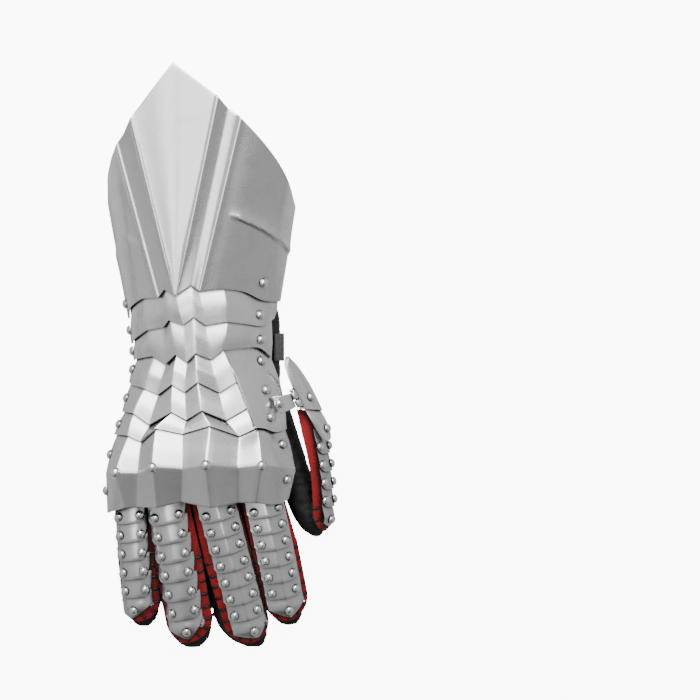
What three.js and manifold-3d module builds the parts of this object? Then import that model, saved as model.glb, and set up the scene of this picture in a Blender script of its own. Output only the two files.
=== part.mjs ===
// Armoured gauntlet for the right hand, in millimetres, +Z up, lying palm down on the floor.
// -Y is towards the fingertips, +Y towards the elbow and +X towards the thumb. Steel lames follow one form,
// drawn as cross rows of named points. Each lame dives under the one before it, like a roof tile.
import * as THREE from 'three';
import { mergeVertices } from 'three/addons/utils/BufferGeometryUtils.js';
import Module from 'manifold-3d';

const wasm = await Module();
wasm.setup();

// ---- Driving dimensions ----
const STEEL = 1.2; // cuff, wrist and hand plates
const LAME_STEEL = 1.0; // finger and thumb lames
const LEATHER = 1.6; // red backing
const GLOVE_WALL = 1.6;
const TILE_GAP = 0.55; // between plates that are riveted together
const WRIST_GAP = 1.1; // between plates that pivot on each other
const RIVET = { radius: 2.9, height: 1.9, sides: 6, sink: 0.6 };
const KNUCKLE_RIVET = { radius: 3.5, height: 2.4, sides: 8, sink: 0.6 };
const SMALL_RIVET = { radius: 2.5, height: 1.6, sides: 6, sink: 0.5 };

const steel = () => new THREE.MeshStandardMaterial({ color: 0xc4c6c8, roughness: 0.3, metalness: 1 });
const redLeather = () => new THREE.MeshStandardMaterial({ color: 0x9c1a22, roughness: 0.6 });
const blackLeather = () => new THREE.MeshStandardMaterial({ color: 0x0c0c0e, roughness: 0.7 });
const strapLeather = () => new THREE.MeshStandardMaterial({ color: 0x3a3a3c, roughness: 0.8 });

const gauntlet = new THREE.Group();

// ---- The form of the back of the hand ----
// Each row is the lower edge of one plate, from the elbow to the fingers. A column is a ridge, a valley or an
// edge that runs from row to row. A pair is [x, y].
const ROWS = [
  { name: 'cuff', edgeL: [-60, 24], sideL: [-59.5, 31], little: [-50.5, 37], valleyA: [-40.5, 36.8],
    ring: [-36.2, 42.6], valleyB: [-28.9, 38.4], middle: [-18.7, 45], valleyC: [-13, 41], index: [3.5, 43],
    sideR: [16, 41.5], flankR: [28, 34.8], edgeR: [39, 35] },
  { name: 'wrist1', edgeL: [-58, 7.5], sideL: [-56.8, 10], little: [-48, 16], valleyA: [-37, 18],
    ring: [-33.5, 22.7], valleyB: [-24, 19.2], middle: [-17, 24.6], valleyC: [-9, 19], index: [5.5, 21.5],
    sideR: [18.5, 20], flankR: [28.5, 18.3], edgeR: [35, 24] },
  { name: 'wrist2', edgeL: [-56.5, -3], sideL: [-55.6, -2.5], little: [-44, -0.5], valleyA: [-35.5, -5.8],
    ring: [-29, 0.4], valleyB: [-21.8, -4.9], middle: [-16, 1], valleyC: [-5.5, -3], index: [2.2, 3.2],
    sideR: [14, 4.7], flankR: [26, 5.7], edgeR: [33, -1.5] },
  { name: 'hand1', edgeL: [-59.5, -17], sideL: [-57.8, -18.8], little: [-50, -21], valleyA: [-40.3, -25.4],
    ring: [-31.5, -18.7], valleyB: [-23.2, -23.9], middle: [-14.7, -17.2], valleyC: [-0.3, -24.1],
    index: [10.7, -17], sideR: [21, -17], flankR: [30, -17], edgeR: [37.4, -17] },
  { name: 'hand2', edgeL: [-64, -36.4], sideL: [-62, -36.5], little: [-57, -37], valleyA: [-46, -44.8],
    ring: [-31.4, -36.5], valleyB: [-22, -41.7], middle: [-12, -35.5], valleyC: [3.9, -42],
    index: [18.4, -33.6], sideR: [25, -34], flankR: [33, -34], edgeR: [39.6, -34] },
  { name: 'hand3', edgeL: [-69, -51], sideL: [-66.5, -51.2], little: [-60.5, -51.6], valleyA: [-51.6, -55.6],
    ring: [-42.4, -47], valleyB: [-24.7, -50.6], middle: [-6.5, -45.3], valleyC: [12.6, -52],
    index: [24.6, -46.2], sideR: [30, -46.6], flankR: [36.4, -50.5], edgeR: [43.6, -48] },
  { name: 'fold', edgeL: [-74.4, -76], sideL: [-74.2, -76], little: [-68.7, -76], valleyA: [-53, -76],
    ring: [-44, -72], valleyB: [-24.7, -73.3], middle: [-9.3, -70.5], valleyC: [11.5, -72.5],
    index: [27, -70.8], sideR: [35, -71], flankR: [42.5, -72], edgeR: [48.8, -74] },
  { name: 'knuckle', edgeL: [-73.6, -102], sideL: [-72, -101.5], little: [-62.3, -98.8],
    valleyA: [-53.8, -97.9], ring: [-41.2, -98.5], valleyB: [-25.3, -94.6], middle: [-6.1, -98.6],
    valleyC: [11.5, -95.2], index: [23, -95.3], sideR: [31, -96.4], flankR: [38, -96.3],
    edgeR: [44.6, -92.7] },
];
// Heights of a row: its crown, its two side edges, and how far ridges stand above valleys.
const HEIGHTS = {
  cuff: { crown: 60, left: 13, right: 30, ridge: 0.2 },
  wrist1: { crown: 57, left: 13, right: 31.5, ridge: 0.8 },
  wrist2: { crown: 54.5, left: 13, right: 32, ridge: 1.3 },
  hand1: { crown: 53.5, left: 13, right: 33.5, ridge: 2.2 },
  hand2: { crown: 54.5, left: 13, right: 35, ridge: 2.8 },
  hand3: { crown: 56, left: 13, right: 36.5, ridge: 3.6 },
  fold: { crown: 61, left: 12, right: 38, ridge: 5 },
  knuckle: { crown: 49.5, left: 11, right: 33, ridge: 3.4 },
};
// How far a column lies down from the crown to its side edge, and whether it is a valley.
const COLUMNS = {
  edgeL: { fall: 1 }, sideL: { fall: 0.46 }, little: { fall: 0.25 }, valleyA: { fall: 0.15, valley: true },
  ring: { fall: 0.08 }, valleyB: { fall: 0.03, valley: true }, middle: { fall: 0 },
  valleyC: { fall: 0.03, valley: true }, index: { fall: 0.09 }, sideR: { fall: 0.32 },
  flankR: { fall: 0.64 }, edgeR: { fall: 1 },
};
const NAMES = Object.keys(COLUMNS);
const LEFT_SIDE = new Set(['edgeL', 'sideL', 'little', 'valleyA', 'ring']);

function heightAt(rowName, column) {
  const h = HEIGHTS[rowName];
  const { fall, valley } = COLUMNS[column];
  const edge = LEFT_SIDE.has(column) ? h.left : h.right;
  return h.crown - fall * (h.crown - edge) - (valley ? h.ridge : 0);
}

function formPoint(rowIndex, column) {
  const row = ROWS[rowIndex];
  const [x, y] = row[column];
  return new THREE.Vector3(x, y, heightAt(row.name, column));
}

const lerp = (a, b, t) => a.clone().lerp(b, t);

// ---- Shells: a grid of points on the outer face, rows towards the fingers, columns towards the thumb ----
function gridNormals(grid) {
  const normals = grid.map((row) => row.map(() => new THREE.Vector3()));
  for (let i = 0; i < grid.length - 1; i += 1) {
    for (let j = 0; j < grid[0].length - 1; j += 1) {
      const down = lerp(grid[i + 1][j], grid[i + 1][j + 1], 0.5).sub(lerp(grid[i][j], grid[i][j + 1], 0.5));
      const across = lerp(grid[i][j + 1], grid[i + 1][j + 1], 0.5).sub(lerp(grid[i][j], grid[i + 1][j], 0.5));
      const normal = down.cross(across).normalize();
      for (const [a, b] of [[i, j], [i + 1, j], [i, j + 1], [i + 1, j + 1]]) normals[a][b].add(normal);
    }
  }
  return normals.map((row) => row.map((normal) => normal.normalize()));
}

// Moves each row of a grid along its normals by its own distance.
function lifted(grid, distances) {
  const normals = gridNormals(grid);
  return grid.map((row, i) => row.map((p, j) => p.clone().addScaledVector(normals[i][j], distances[i])));
}

function solidOf(points, faces) {
  const vertProperties = new Float32Array(points.flatMap((p) => [p.x, p.y, p.z]));
  const solid = new wasm.Manifold(new wasm.Mesh({
    numProp: 3, vertProperties, triVerts: new Uint32Array(faces.flat()),
  }));
  if (solid.volume() > 0) return solid;
  return solidOf(points, faces.map(([a, b, c]) => [a, c, b]));
}

function shell(grid, thickness) {
  const rows = grid.length;
  const cols = grid[0].length;
  const inner = lifted(grid, grid.map(() => -thickness));
  const at = (layer, i, j) => layer * rows * cols + i * cols + j;
  const faces = [];
  const quad = (a, b, c, d) => faces.push([a, b, c], [a, c, d]);
  for (let i = 0; i < rows - 1; i += 1) {
    for (let j = 0; j < cols - 1; j += 1) {
      quad(at(0, i, j), at(0, i + 1, j), at(0, i + 1, j + 1), at(0, i, j + 1));
      quad(at(1, i, j), at(1, i, j + 1), at(1, i + 1, j + 1), at(1, i + 1, j));
    }
    quad(at(0, i, 0), at(1, i, 0), at(1, i + 1, 0), at(0, i + 1, 0));
    quad(at(0, i, cols - 1), at(0, i + 1, cols - 1), at(1, i + 1, cols - 1), at(1, i, cols - 1));
  }
  for (let j = 0; j < cols - 1; j += 1) {
    quad(at(0, 0, j), at(0, 0, j + 1), at(1, 0, j + 1), at(1, 0, j));
    quad(at(0, rows - 1, j), at(1, rows - 1, j), at(1, rows - 1, j + 1), at(0, rows - 1, j + 1));
  }
  return solidOf([...grid.flat(), ...inner.flat()], faces);
}

// ---- Rivets ----
function solidOfGeometry(geometry) {
  const plain = geometry.clone();
  plain.deleteAttribute('normal');
  plain.deleteAttribute('uv');
  const merged = mergeVertices(plain, 1e-4);
  const position = merged.getAttribute('position');
  const points = [];
  for (let k = 0; k < position.count; k += 1) {
    points.push(new THREE.Vector3().fromBufferAttribute(position, k));
  }
  const faces = [];
  const index = merged.index.array;
  for (let k = 0; k < index.length; k += 3) {
    const face = [index[k], index[k + 1], index[k + 2]];
    if (new Set(face).size === 3) faces.push(face);
  }
  return solidOf(points, faces);
}

// A low dome whose foot is sunk into the plate, standing along a direction.
function rivetAt(point, direction, { radius, height, sides, sink }) {
  const profile = [[0, -sink], [radius, -sink], [radius * 0.62, height], [0, height]];
  const dome = new THREE.LatheGeometry(profile.map(([r, z]) => new THREE.Vector2(r, z)), sides);
  dome.applyQuaternion(new THREE.Quaternion().setFromUnitVectors(new THREE.Vector3(0, 1, 0), direction));
  dome.translate(point.x, point.y, point.z);
  return solidOfGeometry(dome);
}

const FROM_ABOVE = new THREE.Vector3(0, 0, -1);
const FROM_LEFT = new THREE.Vector3(1, 0, 0);

// Where a ray meets the outer face of a grid first, with that face's outward normal.
function seat(grid, origin, direction) {
  const ray = new THREE.Ray(origin, direction);
  let best = null;
  for (let i = 0; i < grid.length - 1; i += 1) {
    for (let j = 0; j < grid[0].length - 1; j += 1) {
      const [a, b, c, d] = [grid[i][j], grid[i + 1][j], grid[i + 1][j + 1], grid[i][j + 1]];
      for (const [p, q, r] of [[a, b, c], [a, c, d]]) {
        const point = ray.intersectTriangle(p, q, r, false, new THREE.Vector3());
        const distance = point ? point.distanceTo(origin) : Infinity;
        if (distance < (best?.distance ?? Infinity)) {
          const normal = new THREE.Vector3().subVectors(q, p).cross(new THREE.Vector3().subVectors(r, p));
          best = { point, distance, normal: normal.normalize() };
        }
      }
    }
  }
  if (!best) throw new Error(`no plate under the rivet at ${origin.toArray()}`);
  return best;
}

const above = (x, y) => [new THREE.Vector3(x, y, 200), FROM_ABOVE];
const beside = (y, z) => [new THREE.Vector3(-200, y, z), FROM_LEFT];

function riveted(solid, grid, places, size = RIVET) {
  let whole = solid;
  for (const place of places) {
    const { point, normal } = seat(grid, ...place);
    whole = whole.add(rivetAt(point, normal, size));
  }
  return whole;
}

function addPiece(name, solid, material) {
  const mesh = solid.getMesh();
  const geometry = new THREE.BufferGeometry();
  geometry.setAttribute('position', new THREE.BufferAttribute(new Float32Array(mesh.vertProperties), 3));
  geometry.setIndex(new THREE.BufferAttribute(new Uint32Array(mesh.triVerts), 1));
  geometry.computeVertexNormals();
  const piece = new THREE.Mesh(geometry, material);
  piece.name = name;
  gauntlet.add(piece);
}

// ---- Cuff ----
// Each column is a straight line from the wrist to the upper edge. bulge rounds the strip up to the next
// column out (+) or in (-) at the upper edge, and steps is how many strips share that round.
const CUFF_COLUMNS = [
  { low: 'edgeL', high: [-73.4, 98, 1], steps: 1, bulge: 0 },
  { low: 'sideL', high: [-73.2, 116, 40], steps: 2, bulge: 1.6 },
  { low: 'little', high: [-70.6, 127, 53], steps: 1, bulge: 0 },
  { low: 'valleyA', high: [-67.2, 136, 61.5], steps: 1, bulge: 0 },
  { low: 'ring', high: [-62.4, 143, 65.5], steps: 1, bulge: 0 },
  { low: 'valleyB', shift: -0.7, high: [-57.8, 153.2, 73], steps: 1, bulge: 0 },
  { low: 'valleyB', shift: 0, high: [-30.5, 189, 84], steps: 1, bulge: 0 },
  { low: 'valleyB', shift: 0.7, high: [-0.8, 166.7, 81.5], steps: 1, bulge: 0 },
  { low: 'middle', high: [5.4, 159.4, 76.4], steps: 1, bulge: 0 },
  { low: 'valleyC', high: [13.7, 153.2, 78], steps: 1, bulge: 0 },
  { low: 'index', high: [25.5, 141, 73.5], steps: 1, bulge: 0 },
  { low: 'sideR', high: [36.7, 127, 64], steps: 1, bulge: 0 },
  { low: 'flankR', high: [44.4, 113.4, 53], steps: 1, bulge: 0 },
  { low: 'edgeR', high: [48.9, 96, 38], steps: 1, bulge: 0 },
];
const CUFF_ROWS = 4;
const CUFF_RIVETS = [above(28, 47), beside(33.5, 27)];

function cuffLine({ low, shift = 0, high }) {
  const bottom = formPoint(0, low).add(new THREE.Vector3(shift, 0, 0));
  return (t) => lerp(bottom, new THREE.Vector3(...high), t);
}

function addCuff() {
  const lines = [];
  CUFF_COLUMNS.forEach((column, k) => {
    const here = cuffLine(column);
    lines.push(here);
    for (let s = 1; s < column.steps; s += 1) {
      const next = cuffLine(CUFF_COLUMNS[k + 1]);
      const part = s / column.steps;
      const lift = 4 * part * (1 - part) * column.bulge;
      lines.push((t) => lerp(here(t), next(t), part).add(new THREE.Vector3(-lift * t, 0, lift * t)));
    }
  });
  const grid = [];
  for (let i = CUFF_ROWS; i >= 0; i -= 1) grid.push(lines.map((line) => line(i / CUFF_ROWS)));
  addPiece('cuff_plate', riveted(shell(grid, STEEL), grid, CUFF_RIVETS), steel());
}

// ---- Wrist and hand lames ----
// The lame between two rows of the form, with a hidden part that reaches back under the plate before it.
const HIDDEN = 0.42; // share of the plate before it that a lame reaches under
const SHOWN_RISE = 0.5; // the part of a lame in which it rises from under the plate before it

function lameGrid(rowIndex, names, back, dive) {
  const line = (from, to, t) => names.map((name) => lerp(from(name), to(name), t));
  const upper = (name) => formPoint(rowIndex - 1, name);
  const lower = (name) => formPoint(rowIndex, name);
  const grid = [
    names.map((name) => lerp(upper(name), back(name), HIDDEN)),
    line(upper, lower, 0),
    line(upper, lower, SHOWN_RISE),
    line(upper, lower, 1),
  ];
  return lifted(grid, [-dive, -dive, 0, 0]);
}

const rowBefore = (rowIndex) => (name) => formPoint(rowIndex - 2, name);

const ABOVE_CUFF = 17; // how far up the cuff its first wrist lame's frame reaches
function insideCuff(name) {
  const column = CUFF_COLUMNS.find((c) => c.low === name && (c.shift ?? 0) === 0);
  const line = cuffLine(column);
  const length = line(1).y - line(0).y;
  return line(ABOVE_CUFF / length);
}

const WRIST_LAMES = [
  { name: 'wrist_lame_1', row: 1, back: insideCuff, rivets: [above(25.8, 26.4), beside(16.5, 27)] },
  { name: 'wrist_lame_2', row: 2, back: rowBefore(2), rivets: [above(26.4, 10.4), beside(3, 27)] },
];

function addWristLames() {
  for (const { name, row, back, rivets } of WRIST_LAMES) {
    const grid = lameGrid(row, NAMES, back, STEEL + WRIST_GAP);
    addPiece(name, riveted(shell(grid, STEEL), grid, rivets), steel());
  }
}

// Lowers the column along the index ridge, row by row, so that it lies under the first hand lame's wing.
function tucked(grid, names, depths) {
  const column = names.indexOf('index');
  depths.forEach((depth, i) => {
    grid[i][column].z -= depth;
  });
  return grid;
}

// The first hand lame has a wing that covers the thumb side of the other two.
const WING_STEPS = [0, 0.35, 0.7, 1];
const WING = [
  { top: 'index', lead: 1.6, low: [23, -46.4, 54.6], bow: 0 },
  { top: 'sideR', lead: 0, low: [29, -46.8, 51.4], bow: 0.5 },
  { top: 'flankR', lead: 0, low: [36.2, -50, 44.8], bow: 1 },
  { top: 'edgeR', lead: 0, low: [43, -47.6, 37.6], bow: 2.6 },
];
const HAND_RIVETS = {
  hand1: [above(26.6, -3.4), above(29.8, -22.2), above(33, -39.9), beside(-9, 27)],
  hand2: [beside(-27.5, 27)],
  hand3: [beside(-44.6, 27)],
};
const WING_TUCK = 1.9; // how far down the edges of the other two lames lie under the wing
const WING_DIVE = 1.65; // the wing's share of the dive, as its slope is steeper than the back of the hand
const HAND_NAMES = NAMES.slice(0, NAMES.indexOf('sideR'));

// The part of the first hand lame that the wrist lame hides, then its wing, whose low edge is its own.
function wingColumns(dive) {
  return WING.map(({ top, lead, low, bow }) => {
    const start = formPoint(2, top).add(new THREE.Vector3(lead, 0, 0));
    const end = new THREE.Vector3(...low);
    const hidden = lerp(start, rowBefore(3)(top), HIDDEN);
    const path = [hidden];
    for (const t of WING_STEPS) {
      const sideways = 4 * t * (1 - t) * bow;
      path.push(lerp(start, end, t).add(new THREE.Vector3(sideways, 0, sideways)));
    }
    path[0].z -= dive * WING_DIVE;
    path[1].z -= dive * WING_DIVE;
    return path;
  });
}

function addHandLame1() {
  const dive = STEEL + WRIST_GAP;
  const main = lameGrid(3, HAND_NAMES, rowBefore(3), dive);
  // One more row, halfway to the low edge, keeps the wing smooth.
  const between = main[2].map((p, j) => lerp(p, main[3][j], 0.5));
  const grid = [main[0], main[1], main[2], between, main[3]];
  const wing = wingColumns(dive);
  grid.forEach((row, i) => row.push(...wing.map((column) => column[i])));
  addPiece('metacarpal_lame_1', riveted(shell(grid, STEEL), grid, HAND_RIVETS.hand1), steel());
}

function addOtherHandLames() {
  for (const [row, depths] of [[4, [0, 0, WING_TUCK, WING_TUCK]], [5, Array(4).fill(WING_TUCK)]]) {
    const grid = tucked(lameGrid(row, HAND_NAMES, rowBefore(row), STEEL + TILE_GAP), HAND_NAMES, depths);
    const { name } = ROWS[row];
    const rivets = HAND_RIVETS[name];
    addPiece(`metacarpal_lame_${row - 2}`, riveted(shell(grid, STEEL), grid, rivets), steel());
  }
}

// ---- Knuckle plate ----
const KNUCKLE_RIVETS = [above(-68, -75.4), above(-44, -72.3), above(-9.3, -70.8), above(27, -71.2)];
const KNUCKLE_SIDE_RIVETS = [beside(-64, 30), beside(-87.5, 28), above(40.4, -57.4), above(43.4, -80.4)];

function addKnucklePlate() {
  const dive = STEEL + TILE_GAP;
  const at = (row) => (name) => formPoint(row, name);
  const cross = (from, to, t) => NAMES.map((name) => lerp(from(name), to(name), t));
  const plain = lifted([
    cross(at(5), at(4), 0.4),
    cross(at(5), at(6), 0),
    cross(at(5), at(6), 0.4),
    cross(at(5), at(6), 1),
    cross(at(6), at(7), 0.5),
    cross(at(6), at(7), 1),
  ], [-dive, -dive, 0, 0, 0, 0]);
  const grid = tucked(plain, NAMES, [WING_TUCK, WING_TUCK]);
  let plate = riveted(shell(grid, STEEL), grid, KNUCKLE_SIDE_RIVETS);
  plate = riveted(plate, grid, KNUCKLE_RIVETS, KNUCKLE_RIVET);
  addPiece('knuckle_plate', plate, steel());
}

// ---- Fingers ----
// base and tip are the crown of the lames at the knuckle plate's edge and at the finger's end. roll leans the
// lames to the little-finger side (+). ridge is 1 for a sharp fold along the middle, 0 for a round back. rim
// is how far the red leather shows at the little-finger side and at the thumb side. glove is how much wider than
// the lames the glove is at its root and at its tip, first at the little-finger side, then at the thumb side.
const FINGERS = [
  { name: 'little', lames: 6, base: [-60.6, -97, 35], tip: [-54.2, -171, 21], width: [21, 20], roll: 14,
    ridge: 0.1, arch: 5, rim: [1, 2.6], glove: [[0, 0], [-0.8, 4]] },
  { name: 'ring', lames: 7, base: [-36.4, -97, 41.5], tip: [-21.2, -185, 22], width: [24.6, 23], roll: 8,
    ridge: 0.2, arch: 5, rim: [1.6, 3], glove: [[-0.4, 3], [3, 5]] },
  { name: 'middle', lames: 8, base: [-2.6, -96.5, 43.5], tip: [21.6, -185, 22], width: [25.6, 23], roll: 0,
    ridge: 0.8, arch: 5.5, rim: [4, 1], glove: [[3.2, 4.4], [2.2, 0]] },
  { name: 'index', lames: 7, base: [29.4, -94.5, 41.5], tip: [45.6, -171, 22.5], width: [25.4, 24],
    roll: -8, ridge: 0.8, arch: 5.5, rim: [1, 3.4], glove: [[2.4, 1.6], [0, 0]] },
];
// The thumb's scales, from under the second thumb plate to the tip, leaning towards the floor on +X.
const THUMB_SCALES = { name: 'thumb', lames: 5, base: [68.2, -52, 29], tip: [73, -112, 20], width: [21, 20],
  roll: -52, ridge: 0.2, arch: 5, rim: [5, 1] };
const ACROSS = [-1, -0.6, 0, 0.6, 1]; // shares of a lame's half width
const CORNER = 2.4; // how far the low corners are cut back
const TIP_LENGTH = 14; // exposed length of the last lame
const LAME_HIDDEN = 4.2;
const LAME_DIVE = 1.85; // the lames' sides slope, so this is more than their thickness and gap
const HUMP = 2.2; // how far a finger's back bows up in the middle

function fingerFrame({ base, tip, width, roll, ridge, arch, rim }) {
  const start = new THREE.Vector3(...base);
  const end = new THREE.Vector3(...tip);
  const axis = end.clone().sub(start);
  const length = axis.length();
  axis.normalize();
  const across = new THREE.Vector3(-axis.y, axis.x, 0).normalize();
  const up = new THREE.Vector3().crossVectors(across, axis).negate().normalize();
  if (up.z < 0) up.negate();
  const turn = new THREE.Quaternion().setFromAxisAngle(new THREE.Vector3(0, 1, 0), -roll * Math.PI / 180);
  across.applyQuaternion(turn);
  up.applyQuaternion(turn);
  const halfAt = (d) => (width[0] + (width[1] - width[0]) * (d / length)) / 2;
  // A place beside and above the finger's crown line, a distance d from the base.
  const place = (side, d, height) => {
    const droop = HUMP * (2 * d / length - 1) ** 2;
    return start.clone().addScaledVector(axis, d).addScaledVector(across, side)
      .addScaledVector(up, height - droop);
  };
  // The point at a share s of the half width and a height off the lames' form, which is straight past s = 1.
  const point = (s, d, off = 0) => {
    const inside = Math.min(1, Math.abs(s));
    const drop = arch * (inside ** 2 * (1 - ridge) + inside * ridge + Math.abs(s) - inside);
    return place(s * halfAt(d), d, off - drop);
  };
  // The share of the half width at which the red leather ends.
  const rimShare = (side, d, spread) => 1 + spread * rim[side < 0 ? 0 : 1] / halfAt(d);
  return { length, place, point, rimShare, halfAt, up };
}

function lameRows(frame, top, from, to) {
  const grid = [
    { d: top, off: -LAME_DIVE, corner: 0 },
    { d: from, off: -LAME_DIVE, corner: 0 },
    { d: to - LAME_HIDDEN, off: 0, corner: 0 },
    { d: to, off: 0, corner: 1 },
  ];
  return grid.map(({ d, off, corner }) => ACROSS.map((s) => {
    const back = Math.abs(s) === 1 ? corner * CORNER : 0;
    return frame.point(s, d - back, off);
  }));
}

function tipRows(frame, top, from, end) {
  const rows = [
    { d: top, off: -LAME_DIVE, scale: 1 },
    { d: from, off: -LAME_DIVE, scale: 1 },
    { d: from + (end - from) * 0.45, off: 0, scale: 1 },
    { d: from + (end - from) * 0.82, off: -0.4, scale: 0.86 },
    { d: end, off: -2, scale: 0.42 },
  ];
  return rows.map(({ d, off, scale }) => ACROSS.map((s) => frame.point(s * scale, d, off)));
}

function addLames(finger, firstNumber = 1) {
  const frame = fingerFrame(finger);
  const pitch = (frame.length - TIP_LENGTH) / (finger.lames - 1);
  for (let k = 0; k < finger.lames; k += 1) {
    const last = k === finger.lames - 1;
    const from = k * pitch;
    const to = last ? frame.length : from + pitch;
    const top = from - LAME_HIDDEN + (k === 0 ? 0.4 : 0);
    const grid = last ? tipRows(frame, top, from, to) : lameRows(frame, top, from, to);
    const reach = last ? [0] : [-0.66, 0.66];
    const along = last ? from + (to - from) * 0.6 : to - pitch * 0.38;
    const places = reach.map((s) => {
      const target = frame.point(s, along);
      return [target.clone().addScaledVector(frame.up, 50), frame.up.clone().negate()];
    });
    const solid = riveted(shell(grid, LAME_STEEL), grid, places, SMALL_RIVET);
    addPiece(`${finger.name}_lame_${k + firstNumber}`, solid, steel());
  }
}

// ---- Red leather backings ----
const RED_OVER = 2.6; // how far the leather shows past the finger tip
const RED_DEPTH = 2 * LAME_DIVE + 0.9; // its outer face below the form of the lames
const RED_ROWS = 6;
const RIM_START = 0.25; // share of the rim that shows at the knuckles

function addBacking(finger, start = -1) {
  const frame = fingerFrame(finger);
  const end = frame.length + RED_OVER;
  const grid = [];
  for (let i = 0; i <= RED_ROWS; i += 1) {
    const t = i / RED_ROWS;
    const d = start + (end - start) * Math.sin(t * Math.PI / 2) ** 0.9;
    const left = (end - d) / (finger.width[1] * 0.62);
    const scale = left >= 1 ? 1 : Math.max(0.38, Math.sqrt(1 - (1 - left) ** 2));
    const spread = Math.min(1, RIM_START + 2 * Math.max(0, d) / end);
    grid.push(ACROSS.map((s) => {
      const wide = Math.abs(s) === 1 ? frame.rimShare(s, d, spread) : 1;
      return frame.point(s * wide * scale, d, -RED_DEPTH);
    }));
  }
  addPiece(`${finger.name}_backing`, shell(grid, LEATHER), redLeather());
}

// ---- Thumb leaf, second plate and hinge ----
// Rows across the plate, from the wrist end: [x, y, z] of the left edge and of the right edge.
const LEAF_ROWS = [
  { left: [42.3, -0.6, 39], right: [44.4, -0.9, 38] },
  { left: [41, -5.7, 39.6], right: [49.6, -5.7, 34.5] },
  { left: [43, -12, 39.8], right: [54, -12, 32] },
  { left: [46, -19, 39.4], right: [58.4, -19, 29.6] },
  { left: [49.4, -27.5, 38.4], right: [62.7, -27.5, 27.6] },
  { left: [53.4, -34.6, 36.8], right: [66.2, -35.2, 26] },
];
const SECOND_ROWS = [
  { left: [51.8, -29.5, 35], right: [61.8, -29.5, 24.4] },
  { left: [54.8, -34.8, 34], right: [65, -35.4, 23.6] },
  { left: [58.8, -42, 34], right: [69.4, -43, 24.6] },
  { left: [62.6, -49, 32.2], right: [71.8, -51, 23.6] },
  { left: [67, -55.6, 30.4], right: [71.6, -54, 26] },
];
const LEAF_BULGE = 2.2;
const LEAF_ACROSS = [0, 0.33, 0.67, 1];
const LEAF_RIVETS = [above(58.6, -26.7)];
const SECOND_RIVETS = [above(69, -47)];

function leafGrid(rows) {
  return rows.map(({ left, right }) => LEAF_ACROSS.map((t) => {
    const lift = 4 * t * (1 - t) * LEAF_BULGE;
    return lerp(new THREE.Vector3(...left), new THREE.Vector3(...right), t)
      .add(new THREE.Vector3(lift * 0.55, 0, lift * 0.83));
  }));
}

const HINGE = { start: [46.6, -23.6, 39.9], end: [52.4, -34, 38.4], pin: 0.8, bore: 1.2, outer: 2.1,
  head: 1.7, sides: 10, clear: 0.4 };
const LEAF_KNUCKLE = [0.02, 0.42]; // shares of the hinge's length
const THUMB_KNUCKLE = [0.5, 0.9];

// A bar along the hinge's line, between two shares of its length.
function hingeBar(from, to, radius) {
  const start = new THREE.Vector3(...HINGE.start);
  const end = new THREE.Vector3(...HINGE.end);
  const axis = end.clone().sub(start);
  const bar = new THREE.CylinderGeometry(radius, radius, axis.length() * (to - from), HINGE.sides);
  const turn = new THREE.Quaternion().setFromUnitVectors(new THREE.Vector3(0, 1, 0), axis.normalize());
  bar.applyQuaternion(turn);
  const middle = start.clone().addScaledVector(end.clone().sub(start), (from + to) / 2);
  bar.translate(middle.x, middle.y, middle.z);
  return solidOfGeometry(bar);
}

// A plate with its knuckle round the pin, cut clear of the other plate's knuckle.
function hinged(plate, [from, to], [otherFrom, otherTo]) {
  const room = 0.04; // share of the hinge's length left free past the other knuckle
  const free = HINGE.outer + HINGE.clear;
  return plate.add(hingeBar(from, to, HINGE.outer))
    .subtract(hingeBar(otherFrom - room, otherTo + room, free))
    .subtract(hingeBar(-0.2, LEAF_KNUCKLE[0] - room, free))
    .subtract(hingeBar(THUMB_KNUCKLE[1] + room, 1.12, free))
    .subtract(hingeBar(-0.2, 1.2, HINGE.bore));
}

const HINGE_LEAF_ROWS = [
  { left: [33, -26.8, 46], right: [45.7, -24.4, 41] },
  { left: [36, -32.4, 45.6], right: [47.3, -28.8, 40.6] },
  { left: [38.6, -37.6, 44.8], right: [49.2, -33, 40.2] },
];

function addThumbPlates() {
  const leaf = leafGrid(LEAF_ROWS);
  const leafSolid = riveted(shell(leaf, STEEL), leaf, LEAF_RIVETS);
  addPiece('thumb_lame_1', hinged(leafSolid, THUMB_KNUCKLE, LEAF_KNUCKLE), steel());
  const second = leafGrid(SECOND_ROWS);
  addPiece('thumb_lame_2', riveted(shell(second, LAME_STEEL), second, SECOND_RIVETS, SMALL_RIVET), steel());
}

function addHinge() {
  const grid = leafGrid(HINGE_LEAF_ROWS);
  const solid = riveted(shell(grid, STEEL), grid, [above(38, -31)], SMALL_RIVET);
  addPiece('hinge_leaf', hinged(solid, LEAF_KNUCKLE, THUMB_KNUCKLE), steel());
  const heads = hingeBar(-0.15, -0.05, HINGE.head).add(hingeBar(0.97, 1.07, HINGE.head));
  addPiece('hinge_pin', hingeBar(-0.1, 1.02, HINGE.pin).add(heads), steel());
}

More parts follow.
